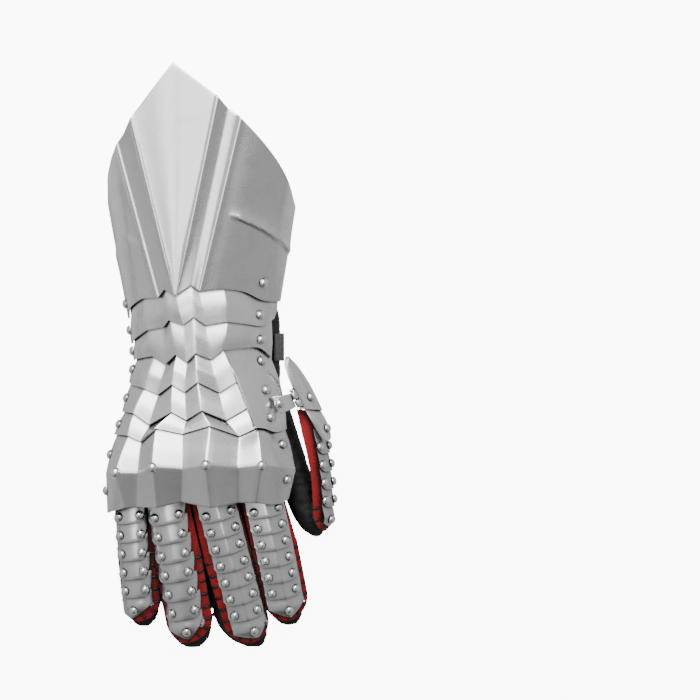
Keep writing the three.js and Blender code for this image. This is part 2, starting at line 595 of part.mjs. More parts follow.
// ---- Glove ----
// Sections of the palm and wrist along Y: centre and half width across, floor and top heights.
const PALM = [
  { y: 66, x: -14, half: 38, floor: 0, top: 42 },
  { y: 44, x: -11, half: 42, floor: 0, top: 42 },
  { y: 28, x: -6, half: 44, floor: 1, top: 38 },
  { y: 19, x: -5.2, half: 44, floor: 2.6, top: 35 },
  { y: -8, x: -5.2, half: 44, floor: 2.6, top: 35 },
  { y: -22, x: -7, half: 46, floor: 0, top: 38 },
  { y: -50, x: -12.5, half: 50.5, floor: 0, top: 42 },
  { y: -75, x: -14, half: 53, floor: 0, top: 40 },
  { y: -92, x: -14, half: 48, floor: 5, top: 23 },
];
const PALM_SIDES = 18;
const PALM_LIE = { tilt: -0.08, press: 2 }; // the palm lies lower towards the thumb and flat on the floor
const STRAP = { width: 18, thickness: 1.8, middle: 5.5, gap: 0.7, from: 28, to: -210, steps: 20 };
const THUMB_TUBE = { from: [30, -28, 15], to: [62, -118, 7.3], half: [13, 10], high: [14, 7.3] };
const FINGER_ROOT = -12; // how far into the palm a finger of the glove starts
const SEAM_GAP = 0.35; // between the palm and the fingers sewn to it
const GLOVE_OVER = 8.2; // how far the glove reaches past a finger's lames
const FINGER_SIDES = 8;
const FINGER_STATIONS = [0, 0.3, 0.62, 0.8, 0.92, 0.98];

function loft(rings) {
  const sides = rings[0].length;
  const points = rings.flat();
  const faces = [];
  for (let i = 0; i < rings.length - 1; i += 1) {
    for (let j = 0; j < sides; j += 1) {
      const next = (j + 1) % sides;
      const [a, b] = [i * sides + j, i * sides + next];
      faces.push([a, b, b + sides], [a, b + sides, a + sides]);
    }
  }
  const lastRing = (rings.length - 1) * sides;
  for (let j = 1; j < sides - 1; j += 1) {
    faces.push([0, j + 1, j], [lastRing, lastRing + j, lastRing + j + 1]);
  }
  return solidOf(points, faces);
}

// A point of an oval section, which leans by tilt and is pressed flat where it meets its floor.
function ovalPoint({ y, x, half, floor, top, tilt = 0, press = 0 }, angle) {
  const across = half * Math.cos(angle);
  const rise = Math.sin(angle);
  const z = (top + floor) / 2 + (top - floor) / 2 * rise + tilt * across - (rise < 0 ? press : 0);
  return new THREE.Vector3(x + across, y, Math.max(z, floor));
}

function oval(section, sides) {
  const angles = Array.from({ length: sides }, (_, k) => (k / sides) * Math.PI * 2);
  return angles.map((angle) => ovalPoint(section, angle));
}

// A section grown by a margin on every side.
function grown(section, margin) {
  const { half, floor, top } = section;
  return { ...section, half: half + margin, floor: floor - margin, top: top + margin };
}

function palmSolid(inset, openBy) {
  const sections = PALM.map((section) => grown({ ...section, ...PALM_LIE }, -inset));
  sections[0].y += openBy;
  sections[sections.length - 1].y += inset;
  return loft(sections.map((section) => oval(section, PALM_SIDES)));
}

function addStrap() {
  const wrist = { ...PALM.find(({ y }) => y < 0), ...PALM_LIE };
  const outer = grown(wrist, STRAP.gap + STRAP.thickness);
  const grid = [];
  for (let k = 0; k <= STRAP.steps; k += 1) {
    const angle = (STRAP.from + (STRAP.to - STRAP.from) * (k / STRAP.steps)) * Math.PI / 180;
    grid.push([-0.5, 0.5].map((side) => {
      const y = STRAP.middle + side * STRAP.width;
      return ovalPoint({ ...outer, y }, angle);
    }));
  }
  addPiece('wrist_strap', shell(grid, STRAP.thickness), strapLeather());
}

// The thinning of a finger of the glove towards its round end.
const tipShare = (t) => (t > 0.8 ? Math.sqrt(1 - ((t - 0.8) / 0.2) ** 2) : 1);

// A finger of the glove, just under its red leather and down to the floor at the tip.
function fingerSolid(finger, inset) {
  const frame = fingerFrame(finger);
  const depth = RED_DEPTH + LEATHER + 1.2 + 1.5 * finger.ridge + 0.18 * Math.abs(finger.roll);
  const span = frame.length + GLOVE_OVER - inset - FINGER_ROOT;
  return loft(FINGER_STATIONS.map((t) => {
    const d = FINGER_ROOT + span * t;
    const top = frame.place(0, d, -depth);
    const high = (top.z - Math.max(0, 9 * (1 - 1.6 * t))) / 2;
    const share = tipShare(t);
    const [left, right] = finger.glove.map(([root, tip]) => frame.halfAt(d) + root + (tip - root) * t);
    const half = (left + right) / 2 * Math.max(share, 0.2) - inset;
    const tall = high * Math.max(share, 0.35) - inset;
    const z = top.z - high;
    const x = top.x + (right - left) / 2;
    return oval({ x, y: top.y, half, floor: z - tall, top: z + tall }, FINGER_SIDES);
  }));
}

function thumbSolid({ from, to, half, high }, inset) {
  const start = new THREE.Vector3(...from);
  const end = new THREE.Vector3(...to);
  return loft(FINGER_STATIONS.map((t) => {
    const share = tipShare(t);
    const { x, y, z } = lerp(start, end, t * (1 - inset / start.distanceTo(end)));
    const wide = (half[0] + (half[1] - half[0]) * t) * Math.max(share, 0.2) - inset;
    const tall = (high[0] + (high[1] - high[0]) * t) * Math.max(share, 0.35) - inset;
    return oval({ x, y, half: wide, floor: z - tall, top: z + tall }, FINGER_SIDES);
  }));
}

// The palm is a sleeve with a mouth for each finger and the thumb, which are sewn on round those mouths.
function addGlove() {
  const block = palmSolid(-SEAM_GAP, 0);
  let palm = palmSolid(0, 0).subtract(palmSolid(GLOVE_WALL, 4));
  const tubes = FINGERS.map((finger) => [`${finger.name}_finger`, (inset) => fingerSolid(finger, inset)]);
  tubes.push(['thumb', (inset) => thumbSolid(THUMB_TUBE, inset)]);
  for (const [name, tube] of tubes) {
    const hollow = tube(GLOVE_WALL);
    palm = palm.subtract(hollow);
    addPiece(`glove_${name}`, tube(0).subtract(hollow).subtract(block), blackLeather());
  }
  addPiece('glove_palm', palm, blackLeather());
}

addCuff();
addWristLames();
addHandLame1();
addOtherHandLames();
addKnucklePlate();
for (const finger of FINGERS) {
  addLames(finger);
  addBacking(finger);
}
addLames(THUMB_SCALES, 3);
addBacking(THUMB_SCALES, -10);
addThumbPlates();
addHinge();
addGlove();
addStrap();

export default gauntlet;
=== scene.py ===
"""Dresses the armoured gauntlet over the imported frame: steel, rivets, leather, stitching and webbing."""
import logging
import math
from dataclasses import dataclass, field
from enum import Enum
from typing import Callable, Iterable, Optional, Sequence, Union

import bpy
from mathutils import Matrix, Quaternion, Vector, noise
from mathutils.geometry import intersect_ray_tri


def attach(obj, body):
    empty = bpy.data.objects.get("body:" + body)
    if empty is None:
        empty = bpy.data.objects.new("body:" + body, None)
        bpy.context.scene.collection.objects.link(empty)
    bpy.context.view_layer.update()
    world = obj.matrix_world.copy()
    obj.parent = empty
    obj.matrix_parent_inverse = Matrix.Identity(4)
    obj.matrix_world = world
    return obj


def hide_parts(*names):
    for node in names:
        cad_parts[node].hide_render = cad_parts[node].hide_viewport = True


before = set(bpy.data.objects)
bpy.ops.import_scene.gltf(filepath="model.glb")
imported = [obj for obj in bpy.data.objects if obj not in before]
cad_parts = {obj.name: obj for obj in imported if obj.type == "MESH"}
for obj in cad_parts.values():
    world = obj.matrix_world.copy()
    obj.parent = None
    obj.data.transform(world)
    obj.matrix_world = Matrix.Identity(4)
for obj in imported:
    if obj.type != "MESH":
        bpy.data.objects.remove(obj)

LOG = logging.getLogger("gauntlet")
MM = 0.001
UP = Vector((0.0, 0.0, 1.0))
# Lengths in millimetres below this count as nothing.
TINY = 1e-6
# Points closer than this, in metres, are merged.
MERGE = 1e-6
# A corner's round reaches this share of the straight beside it at most, and has points at these stops.
ROUND_REACH = 0.46
ROUND_STOPS = (0.33, 0.5, 0.67, 1.0)
# A column that turns more sharply than this, in millimetres, stays sharp in plan.
CRISP_BELOW = 3
# Rivets are driven from this far off, in millimetres.
FAR = 200.0
Grid = list[list[Vector]]
Pair = tuple[float, float]
Triple = tuple[float, float, float]


# ---- The bench: modelling tools ----
class Bench:
    """Blender's own modelling tools, with lengths in millimetres."""

    @staticmethod
    def clear() -> None:
        """Leaves edit mode and deselects everything."""
        if bpy.context.object is not None and bpy.context.object.mode != "OBJECT":
            bpy.ops.object.mode_set(mode="OBJECT")
        bpy.ops.object.select_all(action="DESELECT")

    @staticmethod
    def pick(*objects: bpy.types.Object) -> None:
        """Selects some objects and makes the first one active.

        Args:
            objects: The objects.
        """
        Bench.clear()
        for obj in objects:
            obj.select_set(True)
        bpy.context.view_layer.objects.active = objects[0]

    @staticmethod
    def edit(obj: bpy.types.Object) -> None:
        """Opens one object in edit mode with its whole mesh selected.

        Args:
            obj: The object.
        """
        Bench.pick(obj)
        bpy.ops.object.mode_set(mode="EDIT")
        bpy.ops.mesh.select_all(action="SELECT")

    @staticmethod
    def done() -> None:
        """Leaves edit mode."""
        bpy.ops.object.mode_set(mode="OBJECT")

    @staticmethod
    def modify(obj: bpy.types.Object, kind: str, **settings: object) -> None:
        """Adds a modifier, sets it and applies it.

        Args:
            obj: The object that it changes.
            kind: The modifier's type.
            settings: Its properties.
        """
        Bench.pick(obj)
        modifier = obj.modifiers.new(kind.title(), kind)
        for key, value in settings.items():
            setattr(modifier, key, value)
        bpy.ops.object.modifier_apply(modifier=modifier.name)

    @staticmethod
    def bevel(obj: bpy.types.Object, width: float, segments: int = 2, degrees: float = 55) -> None:
        """Breaks the edges that turn by more than an angle."""
        Bench.modify(obj, "BEVEL", width=width * MM, segments=segments, limit_method="ANGLE",
                     angle_limit=math.radians(degrees))

    @staticmethod
    def flip(obj: bpy.types.Object) -> None:
        """Turns an object's faces the other way.

        Args:
            obj: The object.
        """
        Bench.edit(obj)
        bpy.ops.mesh.flip_normals()
        Bench.done()

    @staticmethod
    def cap(obj: bpy.types.Object, most_sides: int = 0) -> None:
        """Sews a rolled sheet's long edges together, closes its ends and turns its faces outwards.

        Args:
            obj: The sheet.
            most_sides: How many sides an end that is still open may have, or none to leave that step out.
        """
        Bench.edit(obj)
        bpy.ops.mesh.remove_doubles(threshold=MERGE)
        bpy.ops.mesh.select_all(action="DESELECT")
        bpy.ops.mesh.select_mode(type="EDGE")
        bpy.ops.mesh.select_non_manifold()
        bpy.ops.mesh.edge_face_add()
        if most_sides:
            bpy.ops.mesh.fill_holes(sides=most_sides)
        bpy.ops.mesh.select_all(action="SELECT")
        bpy.ops.mesh.normals_make_consistent(inside=False)
        Bench.done()

    @staticmethod
    def sheet(name: str, grid: Grid, outward: Vector = UP) -> bpy.types.Object:
        """Lays a flat grid and shapes it to a table of points.

        Args:
            name: The piece's name.
            grid: Rows of points in millimetres.
            outward: The side that the faces look to on the whole.

        Returns:
            An open sheet with its faces pointing outwards.
        """
        rows, cols = len(grid), len(grid[0])
        Bench.clear()
        bpy.ops.mesh.primitive_grid_add(x_subdivisions=cols - 1, y_subdivisions=rows - 1, size=1)
        obj = bpy.context.object
        obj.name = obj.data.name = name
        obj.data.vertices.foreach_set("co", [c * MM for row in grid for p in row for c in p])
        obj.data.update()
        facing = sum((Vector(f.normal) * f.area for f in obj.data.polygons), Vector())
        if facing.dot(outward) < 0:
            Bench.flip(obj)
        return obj

    @staticmethod
    def plate(name: str, grid: Grid, thickness: float, edge: float, outward: Vector = UP) -> bpy.types.Object:
        """Makes a wall of even thickness under a grid, with softened edges.

        Args:
            name: The piece's name.
            grid: The outer face, in millimetres.
            thickness: The wall.
            edge: How far its edges are broken.
            outward: The side that the outer face looks to.

        Returns:
            A closed plate.
        """
        obj = Bench.sheet(name, grid, outward)
        Bench.modify(obj, "SOLIDIFY", thickness=thickness * MM, offset=-1)
        Bench.bevel(obj, edge)
        return obj

    @staticmethod
    def smooth(obj: bpy.types.Object, degrees: float = 35) -> None:
        """Shades an object smooth below an angle."""
        Bench.pick(obj)
        bpy.ops.object.shade_smooth_by_angle(angle=math.radians(degrees))

    @staticmethod
    def copy(obj: bpy.types.Object, matrix: Matrix, name: str) -> bpy.types.Object:
        """Copies a piece with a mesh of its own and puts its place into the mesh.

        Args:
            obj: The pattern.
            matrix: The copy's place.
            name: The copy's name.

        Returns:
            The copy.
        """
        twin = bpy.data.objects.new(name, obj.data.copy())
        bpy.context.scene.collection.objects.link(twin)
        twin.data.transform(matrix)
        return twin

    @staticmethod
    def join(name: str, first: bpy.types.Object, others: Sequence[bpy.types.Object]) -> bpy.types.Object:
        """Joins pieces into the first one and names it.

        Args:
            name: The finished piece's name.
            first: The piece that the others go into.
            others: The others.

        Returns:
            The first piece.
        """
        if others:
            Bench.pick(first, *others)
            bpy.ops.object.join()
        first.name = first.data.name = name
        return first

    @staticmethod
    def cut(obj: bpy.types.Object, cutter: bpy.types.Object) -> None:
        """Takes one solid's shape out of another and throws the cutter away."""
        Bench.modify(obj, "BOOLEAN", operation="DIFFERENCE", object=cutter, solver="EXACT")
        bpy.data.objects.remove(cutter)

    @staticmethod
    def bar(name: str, start: Vector, end: Vector, radius: float, sides: int = 24) -> bpy.types.Object:
        """Stands a round bar between two points in millimetres.

        Args:
            name: The bar's name.
            start: The middle of one end.
            end: The middle of the other end.
            radius: The bar's radius.
            sides: How many sides it has.

        Returns:
            The bar.
        """
        Bench.clear()
        bpy.ops.mesh.primitive_cylinder_add(vertices=sides, radius=radius * MM,
                                            depth=(end - start).length * MM)
        obj = bpy.context.object
        obj.name = obj.data.name = name
        turn = UP.rotation_difference(end - start).to_matrix().to_4x4()
        obj.data.transform(Matrix.Translation((start + end) / 2 * MM) @ turn)
        return obj


def rounded(points: Sequence[Vector], soft: Sequence[float], fine: int,
            crisp: Sequence[bool] = ()) -> list[Vector]:
    """Rounds the corners of a line of points.

    Args:
        points: The corners.
        soft: How far before and after each corner its round starts.
        fine: How many points are added along each straight.
        crisp: Whether a corner stays sharp in plan and is rounded in height alone.

    Returns:
        The finer line, whose length depends on the counts alone.
    """
    last = len(points) - 1
    lengths = [(points[k + 1] - points[k]).length for k in range(last)]

    def reach(k: int) -> float:
        """How far a corner's round reaches, under half of each straight beside it.

        Args:
            k: The corner's number.

        Returns:
            The reach in millimetres.
        """
        if k in (0, last):
            return 0.0
        return min(soft[k], lengths[k - 1] * ROUND_REACH, lengths[k] * ROUND_REACH)

    line = [points[0].copy()]
    for k in range(last):
        start = points[k].lerp(points[k + 1], reach(k) / max(lengths[k], TINY))
        end = points[k + 1].lerp(points[k], reach(k + 1) / max(lengths[k], TINY))
        line += [start.lerp(end, f / (fine + 1)) for f in range(1, fine + 1)]
        line.append(end)
        if k + 1 < last:
            after = points[k + 1].lerp(points[k + 2], reach(k + 1) / max(lengths[k + 1], TINY))
            for t in ROUND_STOPS:
                corner = points[k + 1]
                turn = end.lerp(corner, t).lerp(corner.lerp(after, t), t)
                if crisp and crisp[k + 1]:
                    flat = end.lerp(corner, 2 * t) if t <= 0.5 else corner.lerp(after, 2 * t - 1)
                    turn = Vector((flat.x, flat.y, turn.z))
                line.append(turn)
    return line


def refined(grid: Grid, across: Sequence[float], down: Sequence[float], fine: Pair) -> Grid:
    """Rounds a grid's corners across its rows and then down its columns.

    Args:
        grid: The coarse grid.
        across: The softness of each column. A small one stays sharp in plan.
        down: The softness of each row.
        fine: Points added along each straight, across and down.

    Returns:
        The fine grid.
    """
    crisp = [softness < CRISP_BELOW for softness in across]
    rows = [rounded(row, across, int(fine[0]), crisp) for row in grid]
    columns = [rounded([row[j] for row in rows], down, int(fine[1])) for j in range(len(rows[0]))]
    return [[column[i] for column in columns] for i in range(len(columns[0]))]


def normals_of(grid: Grid) -> Grid:
    """Works out a grid's normal at each point, from the faces round it.

    Args:
        grid: Rows of points.

    Returns:
        A normal for each point.
    """
    rows, cols = len(grid), len(grid[0])
    normals = [[Vector() for _ in range(cols)] for _ in range(rows)]
    for i in range(rows - 1):
        for j in range(cols - 1):
            a, b, c, d = grid[i][j], grid[i][j + 1], grid[i + 1][j + 1], grid[i + 1][j]
            normal = (c + d - a - b).cross(b + c - a - d).normalized()
            for p, q in ((i, j), (i, j + 1), (i + 1, j + 1), (i + 1, j)):
                normals[p][q] += normal
    return [[n.normalized() for n in row] for row in normals]


def lifted(grid: Grid, distances: Sequence[float]) -> Grid:
    """Moves each row of a grid along its normals by its own distance."""
    normals = normals_of(grid)
    return [[p + n * distances[i] for p, n in zip(row, normals[i])] for i, row in enumerate(grid)]


def ease(t: float) -> float:
    """A smooth step from 0 to 1."""
    t = min(1.0, max(0.0, t))
    return t * t * (3 - 2 * t)


# ---- Finishes ----
# The share of open sky at which the painted crevice shade is at its darkest.
CLOSED_SKY = 0.48
Value = Union["Wire", float]


class Wire:
    """A shader value. Arithmetic on it adds Math nodes."""

    def __init__(self, paint: "Paint", socket: bpy.types.NodeSocket) -> None:
        """Keeps the socket and the paint whose tree it is in."""
        self.paint = paint
        self.socket = socket

    def _maths(self, operation: str, first: Value, second: Value) -> "Wire":
        """Adds one Math node."""
        return self.paint.node("ShaderNodeMath", {"operation": operation}, {0: first, 1: second})

    def __add__(self, other: Value) -> "Wire":
        """Self plus other."""
        return self._maths("ADD", self, other)

    __radd__ = __add__

    def __sub__(self, other: Value) -> "Wire":
        """Self minus other."""
        return self._maths("SUBTRACT", self, other)

    def __rsub__(self, other: Value) -> "Wire":
        """Other minus self."""
        return self._maths("SUBTRACT", other, self)

    def __mul__(self, other: Value) -> "Wire":
        """Self times other."""
        return self._maths("MULTIPLY", self, other)

    __rmul__ = __mul__

    def above(self, edge: Value) -> "Wire":
        """1 where the value is above an edge."""
        return self._maths("GREATER_THAN", self, edge)

    def wave(self) -> "Wire":
        """The sine of the value."""
        return self.paint.node("ShaderNodeMath", {"operation": "SINE"}, {0: self})


class Paint:
    """A material in the making, or the studio's world."""

    def __init__(self, tree: bpy.types.NodeTree) -> None:
        """Starts with an empty tree."""
        self.tree = tree
        tree.nodes.clear()

    def node(self, kind: str, settings: dict[str, object], inputs: dict[Union[str, int], object],
             out: Union[str, int] = 0) -> Wire:
        """Adds a node, sets it and fills its sockets.

        Args:
            kind: The node's type.
            settings: Its properties, or a ramp's stops under "stops".
            inputs: A value or a wire for each socket.
            out: The output that is wanted.

        Returns:
            That output.
        """
        node = self.tree.nodes.new(kind)
        for key, value in settings.items():
            if key == "stops":
                self._stops(node.color_ramp, value)
            else:
                setattr(node, key, value)
        for key, value in inputs.items():
            if isinstance(value, Wire):
                self.tree.links.new(value.socket, node.inputs[key])
            else:
                node.inputs[key].default_value = value
        return Wire(self, node.outputs[out] if len(node.outputs) else None)

    @staticmethod
    def _stops(ramp: bpy.types.ColorRamp, stops: Sequence[tuple[float, Triple]]) -> None:
        """Writes the stops of a colour ramp.

        Args:
            ramp: The ramp.
            stops: A place from 0 to 1 and a colour for each.
        """
        while len(ramp.elements) > 1:
            ramp.elements.remove(ramp.elements[-1])
        ramp.elements[0].position = stops[0][0]
        ramp.elements[0].color = (*stops[0][1], 1)
        for place, colour in stops[1:]:
            ramp.elements.new(place).color = (*colour, 1)

    def place(self, kind: str = "Object") -> Wire:
        """The piece's own coordinates."""
        return self.node("ShaderNodeTexCoord", {}, {}, kind)

    def axis(self, vector: Wire, index: int) -> Wire:
        """One part of a vector."""
        return self.node("ShaderNodeSeparateXYZ", {}, {0: vector}, index)

    def scaled(self, vector: Wire, scale: Triple) -> Wire:
        """A vector stretched along its axes."""
        return self.node("ShaderNodeVectorMath", {"operation": "MULTIPLY"}, {0: vector, 1: scale})

    def noise(self, vector: Wire, scale: float, detail: float = 4, rough: float = 0.55) -> Wire:
        """Cloudy noise from 0 to 1."""
        return self.node("ShaderNodeTexNoise", {}, {
            "Vector": vector, "Scale": scale, "Detail": detail, "Roughness": rough})

    def ramp(self, value: Value, stops: Sequence[tuple[float, Triple]], smooth: bool = False) -> Wire:
        """Colours by a value.

        Args:
            value: The value, from 0 to 1.
            stops: A place and a colour for each.
            smooth: Whether the colours ease into each other.

        Returns:
            The colour.
        """
        wire = self.node("ShaderNodeValToRGB", {"stops": stops}, {0: value})
        if smooth:
            wire.socket.node.color_ramp.interpolation = "EASE"
        return wire

    def tinted(self, first: Wire, second: object) -> Wire:
        """One colour times another."""
        return self.node("ShaderNodeMix", {"data_type": "RGBA", "blend_type": "MULTIPLY"},
                         {0: 1.0, 6: first, 7: second}, 2)

    def painted_shade(self, reach: float, dark: float, clear: float = 0.93) -> Wire:
        """Painted shade: a grey that darkens the colour where other pieces stand close by, where shade would
        fall.

        Args:
            reach: How near they have to stand, in millimetres.
            dark: The painted shade's grey in a closed crevice.
            clear: The share of open sky from which nothing is darkened.

        Returns:
            The grey of the painted shade.
        """
        open_sky = self.node("ShaderNodeAmbientOcclusion", {"samples": 6}, {"Distance": reach * MM}, "AO")
        return self.ramp(open_sky, [(CLOSED_SKY, grey(dark)), (clear, grey(1.0))])

    def bump(self, height: Wire, depth: float, strength: float = 1.0,
             under: Optional[Wire] = None) -> Wire:
        """A bump.

        Args:
            height: What it follows, from 0 to 1.
            depth: Its depth in millimetres.
            strength: How much of it counts.
            under: A bump that it lies on.

        Returns:
            The bumped normal.
        """
        inputs: dict[Union[str, int], object] = {
            "Height": height, "Distance": depth * MM, "Strength": strength}
        if under is not None:
            inputs["Normal"] = under
        return self.node("ShaderNodeBump", {}, inputs)


def grey(level: float) -> Triple:
    """A neutral colour."""
    return (level, level, level)


@dataclass(frozen=True)
class Finish:
    """What every finish has: its name and the record's slot."""

    name: str
    slot: str

    def paint(self, kit: Paint) -> dict[str, object]:
        """Wires the finish.

        Args:
            kit: The material's tree.

        Returns:
            The inputs of its surface shader.
        """
        raise NotImplementedError

    def material(self) -> bpy.types.Material:
        """Gives the finish's material, made once.

        Returns:
            The material.
        """
        known = bpy.data.materials.get(self.name)
        if known is not None:
            return known
        material = bpy.data.materials.new(self.name)
        material.use_nodes = True
        kit = Paint(material.node_tree)
        shader = kit.node("ShaderNodeBsdfPrincipled", {}, self.paint(kit))
        kit.node("ShaderNodeOutputMaterial", {}, {"Surface": shader})
        return material


@dataclass(frozen=True)
class SatinSteel(Finish):
    """Sheet steel with a fine satin finish, a little cloudy, with faint hammer waves and hairlines, and
    painted shade where other pieces stand close.
    """

    colour: Triple = (0.80, 0.805, 0.81)
    dull: float = 0.27
    wave: float = 0.05
    # How far the painted crevice shade reaches, in millimetres.
    reach: float = 2.2

    def paint(self, kit: Paint) -> dict[str, object]:
        """Wires the steel.

        Args:
            kit: The material's tree.

        Returns:
            The inputs of its surface shader.
        """
        place = kit.place()
        cloud = kit.noise(place, 38, 3)
        fine = kit.noise(place, 420, 4, 0.7)
        hair = kit.noise(kit.scaled(place, (1.0, 0.06, 0.3)), 2600, 2)
        scratch = kit.noise(kit.scaled(place, (0.05, 1.0, 0.4)), 900, 1).above(0.72)
        smear = kit.noise(place, 90, 5, 0.65)
        tone = kit.ramp(smear, [(0.25, grey(0.90)), (0.55, grey(1.0)), (0.8, grey(0.95))])
        clean = kit.tinted(tone, (*self.colour, 1))
        # Painted shade: the steel is darkened under plate edges and round rivets, where shade falls.
        colour = kit.tinted(clean, kit.painted_shade(self.reach, 0.06))
        rough = (cloud - 0.5) * 0.07 + (fine - 0.5) * 0.02 + (smear - 0.5) * 0.05 + scratch * 0.03 + self.dull
        swell = kit.bump(kit.noise(place, 26, 2), self.wave * 8, 0.5)
        brushed = kit.bump(hair, 0.002, 0.3, swell)
        return {"Base Color": colour, "Metallic": 1.0, "Roughness": rough, "Normal": brushed}


@dataclass(frozen=True)
class PolishedSteel(Finish):
    """Rivet heads and hinge parts, polished and a little dinted, with painted shade darkening their foot
    where they meet the plate.
    """

    colour: Triple = (0.86, 0.86, 0.87)
    dull: float = 0.14

    def paint(self, kit: Paint) -> dict[str, object]:
        """Wires the polished steel.

        Args:
            kit: The material's tree.

        Returns:
            The inputs of its surface shader.
        """
        place = kit.place()
        rough = (kit.noise(place, 300, 3) - 0.5) * 0.12 + self.dull
        dint = kit.bump(kit.noise(place, 700, 2), 0.05, 0.35)
        tone = kit.ramp(kit.noise(place, 160), [(0.3, grey(0.88)), (0.6, grey(1.0))])
        clean = kit.tinted(tone, (*self.colour, 1))
        # Painted shade: darkens the rivet's foot and the plate round it.
        colour = kit.tinted(clean, kit.painted_shade(3.2, 0.02, 0.98))
        return {"Base Color": colour, "Metallic": 1.0, "Roughness": rough, "Normal": dint}


@dataclass(frozen=True)
class Leather(Finish):
    """Leather with a pebbled grain, creases, rubbed high spots and painted shade in the gaps between pieces.
    """

    deep: Triple = (0.1, 0.01, 0.01)
    face: Triple = (0.3, 0.01, 0.01)
    rubbed: Triple = (0.4, 0.03, 0.03)
    dull: float = 0.5
    pebble: float = 1100
    relief: float = 0.16

    def paint(self, kit: Paint) -> dict[str, object]:
        """Wires the leather.

        Args:
            kit: The material's tree.

        Returns:
            The inputs of its surface shader.
        """
        place = kit.place()
        warp = kit.node("ShaderNodeVectorMath", {"operation": "MULTIPLY_ADD"}, {
            0: kit.node("ShaderNodeTexNoise", {}, {"Vector": place, "Scale": 180.0, "Detail": 2.0}, 1),
            1: (0.004, 0.004, 0.004), 2: place})
        grain = kit.node("ShaderNodeTexVoronoi", {"feature": "SMOOTH_F1"}, {
            "Vector": warp, "Scale": self.pebble, "Smoothness": 0.4, "Randomness": 0.9})
        creases = kit.noise(kit.scaled(place, (1.0, 0.45, 1.0)), 95, 5, 0.62)
        blotch = kit.noise(place, 24, 3)
        shade = creases * 0.55 + blotch * 0.45
        colour = kit.ramp(shade, [(0.32, self.deep), (0.5, self.face), (0.72, self.rubbed)], True)
        pores = kit.ramp(grain, [(0.05, grey(1.0)), (0.75, grey(0.72))])
        grained = kit.tinted(colour, pores)
        # Painted shade: the leather darkens near the plates and in the gaps between fingers, where shade
        # falls.
        body = kit.tinted(grained, kit.painted_shade(9, 0.1, 0.85))
        rough = (blotch - 0.5) * 0.22 + (creases - 0.5) * 0.2 + grain * 0.12 + self.dull
        low = kit.bump(creases, self.relief * 2.2, 0.5)
        skin = kit.bump(1.0 - grain, self.relief, 0.55, low)
        return {"Base Color": body, "Roughness": rough, "Metallic": 0.0, "Normal": skin}


@dataclass(frozen=True)
class Webbing(Finish):
    """Woven strap: ribs across, yarns along, by the piece's own map."""

    ground: Triple = (0.05, 0.05, 0.052)
    high: Triple = (0.12, 0.12, 0.122)
    ribs: float = 150
    yarns: float = 16

    def paint(self, kit: Paint) -> dict[str, object]:
        """Wires the webbing.

        Args:
            kit: The material's tree.

        Returns:
            The inputs of its surface shader.
        """
        chart = kit.place("UV")
        along = kit.axis(chart, 1)
        over = kit.axis(chart, 0)
        turn = 2 * math.pi
        rib = (along * (self.ribs * turn)).wave()
        yarn = (over * (self.yarns * turn)).wave()
        weave = rib * yarn * 0.5 + 0.5
        fuzz = kit.noise(kit.place(), 1500, 3)
        height = weave * 0.8 + fuzz * 0.2
        colour = kit.ramp(height, [(0.2, self.ground), (0.85, self.high)])
        rough = fuzz * 0.15 + 0.72
        return {"Base Color": colour, "Roughness": rough, "Metallic": 0.0,
                "Normal": kit.bump(height, 0.3, 0.8)}


@dataclass(frozen=True)
class Thread(Finish):
    """Waxed black thread with a twist."""

    colour: Triple = (0.006, 0.006, 0.007)

    def paint(self, kit: Paint) -> dict[str, object]:
        """Wires the thread.

        Args:
            kit: The material's tree.

        Returns:
            The inputs of its surface shader.
        """
        place = kit.place()
        twist = kit.noise(kit.scaled(place, (1.0, 1.0, 3.0)), 1800, 2)
        colour = kit.ramp(twist, [(0.35, self.colour), (0.7, grey(0.02))])
        return {"Base Color": colour, "Roughness": twist * 0.2 + 0.42, "Metallic": 0.0,
                "Normal": kit.bump(twist, 0.12, 0.7)}


STEEL = SatinSteel("satin_steel", "steel")
# The finger lames are the same satin steel painted darker, with the painted crevice shade reaching further.
# Both are painted shade on the fingers.
SHADED_LAME_FINISH = SatinSteel("satin_steel_lames_painted_shade", "steel", (0.61, 0.613, 0.616), dull=0.29, wave=0.03, reach=4.5)
RIVET_FINISH = PolishedSteel("polished_rivets", "steel")
RED = Leather("stitched_red_leather", "red_leather", deep=(0.1, 0.002, 0.003), face=(0.34, 0.004, 0.007),
              rubbed=(0.52, 0.012, 0.018), dull=0.7, pebble=1300, relief=0.12)
BLACK = Leather("black_glove_leather", "black_leather", deep=(0.002, 0.002, 0.0025),
                face=(0.006, 0.006, 0.007), rubbed=(0.02, 0.02, 0.022), dull=0.5, pebble=1000, relief=0.18)
WEB = Webbing("grey_webbing", "strap")
THREAD = Thread("black_thread", "black_leather")


def dress(obj: bpy.types.Object, finish: Finish, body: str, nodes: Iterable[str] = ()) -> bpy.types.Object:
    """Gives a piece its finish and its body, and hides the frame nodes that it stands for.

    Args:
        obj: The piece. A piece that already has materials keeps them.
        finish: Its finish.
        body: The body that it rides on.
        nodes: The frame's nodes that it replaces.

    Returns:
        The same piece.
    """
    if not obj.data.materials:
        obj.data.materials.append(finish.material())
    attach(obj, body)
    nodes = list(nodes)
    if nodes:
        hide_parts(*nodes)
    faces = len(obj.data.polygons)
    LOG.info("%s rides on %s with %d faces", obj.name, body, faces)
    return obj


# ---- Rivets ----
# How near its base plane a point of a rivet's rim lies, in metres.
RIM_SLACK = 1e-5
# How much further each rivet on a plate is turned than the one before, so that they don't look alike.
RIVET_TURN = 1.3


@dataclass(frozen=True)
class RivetKind:
    """A domed rivet head."""

    radius: float
    height: float
    sink: float = 0.6


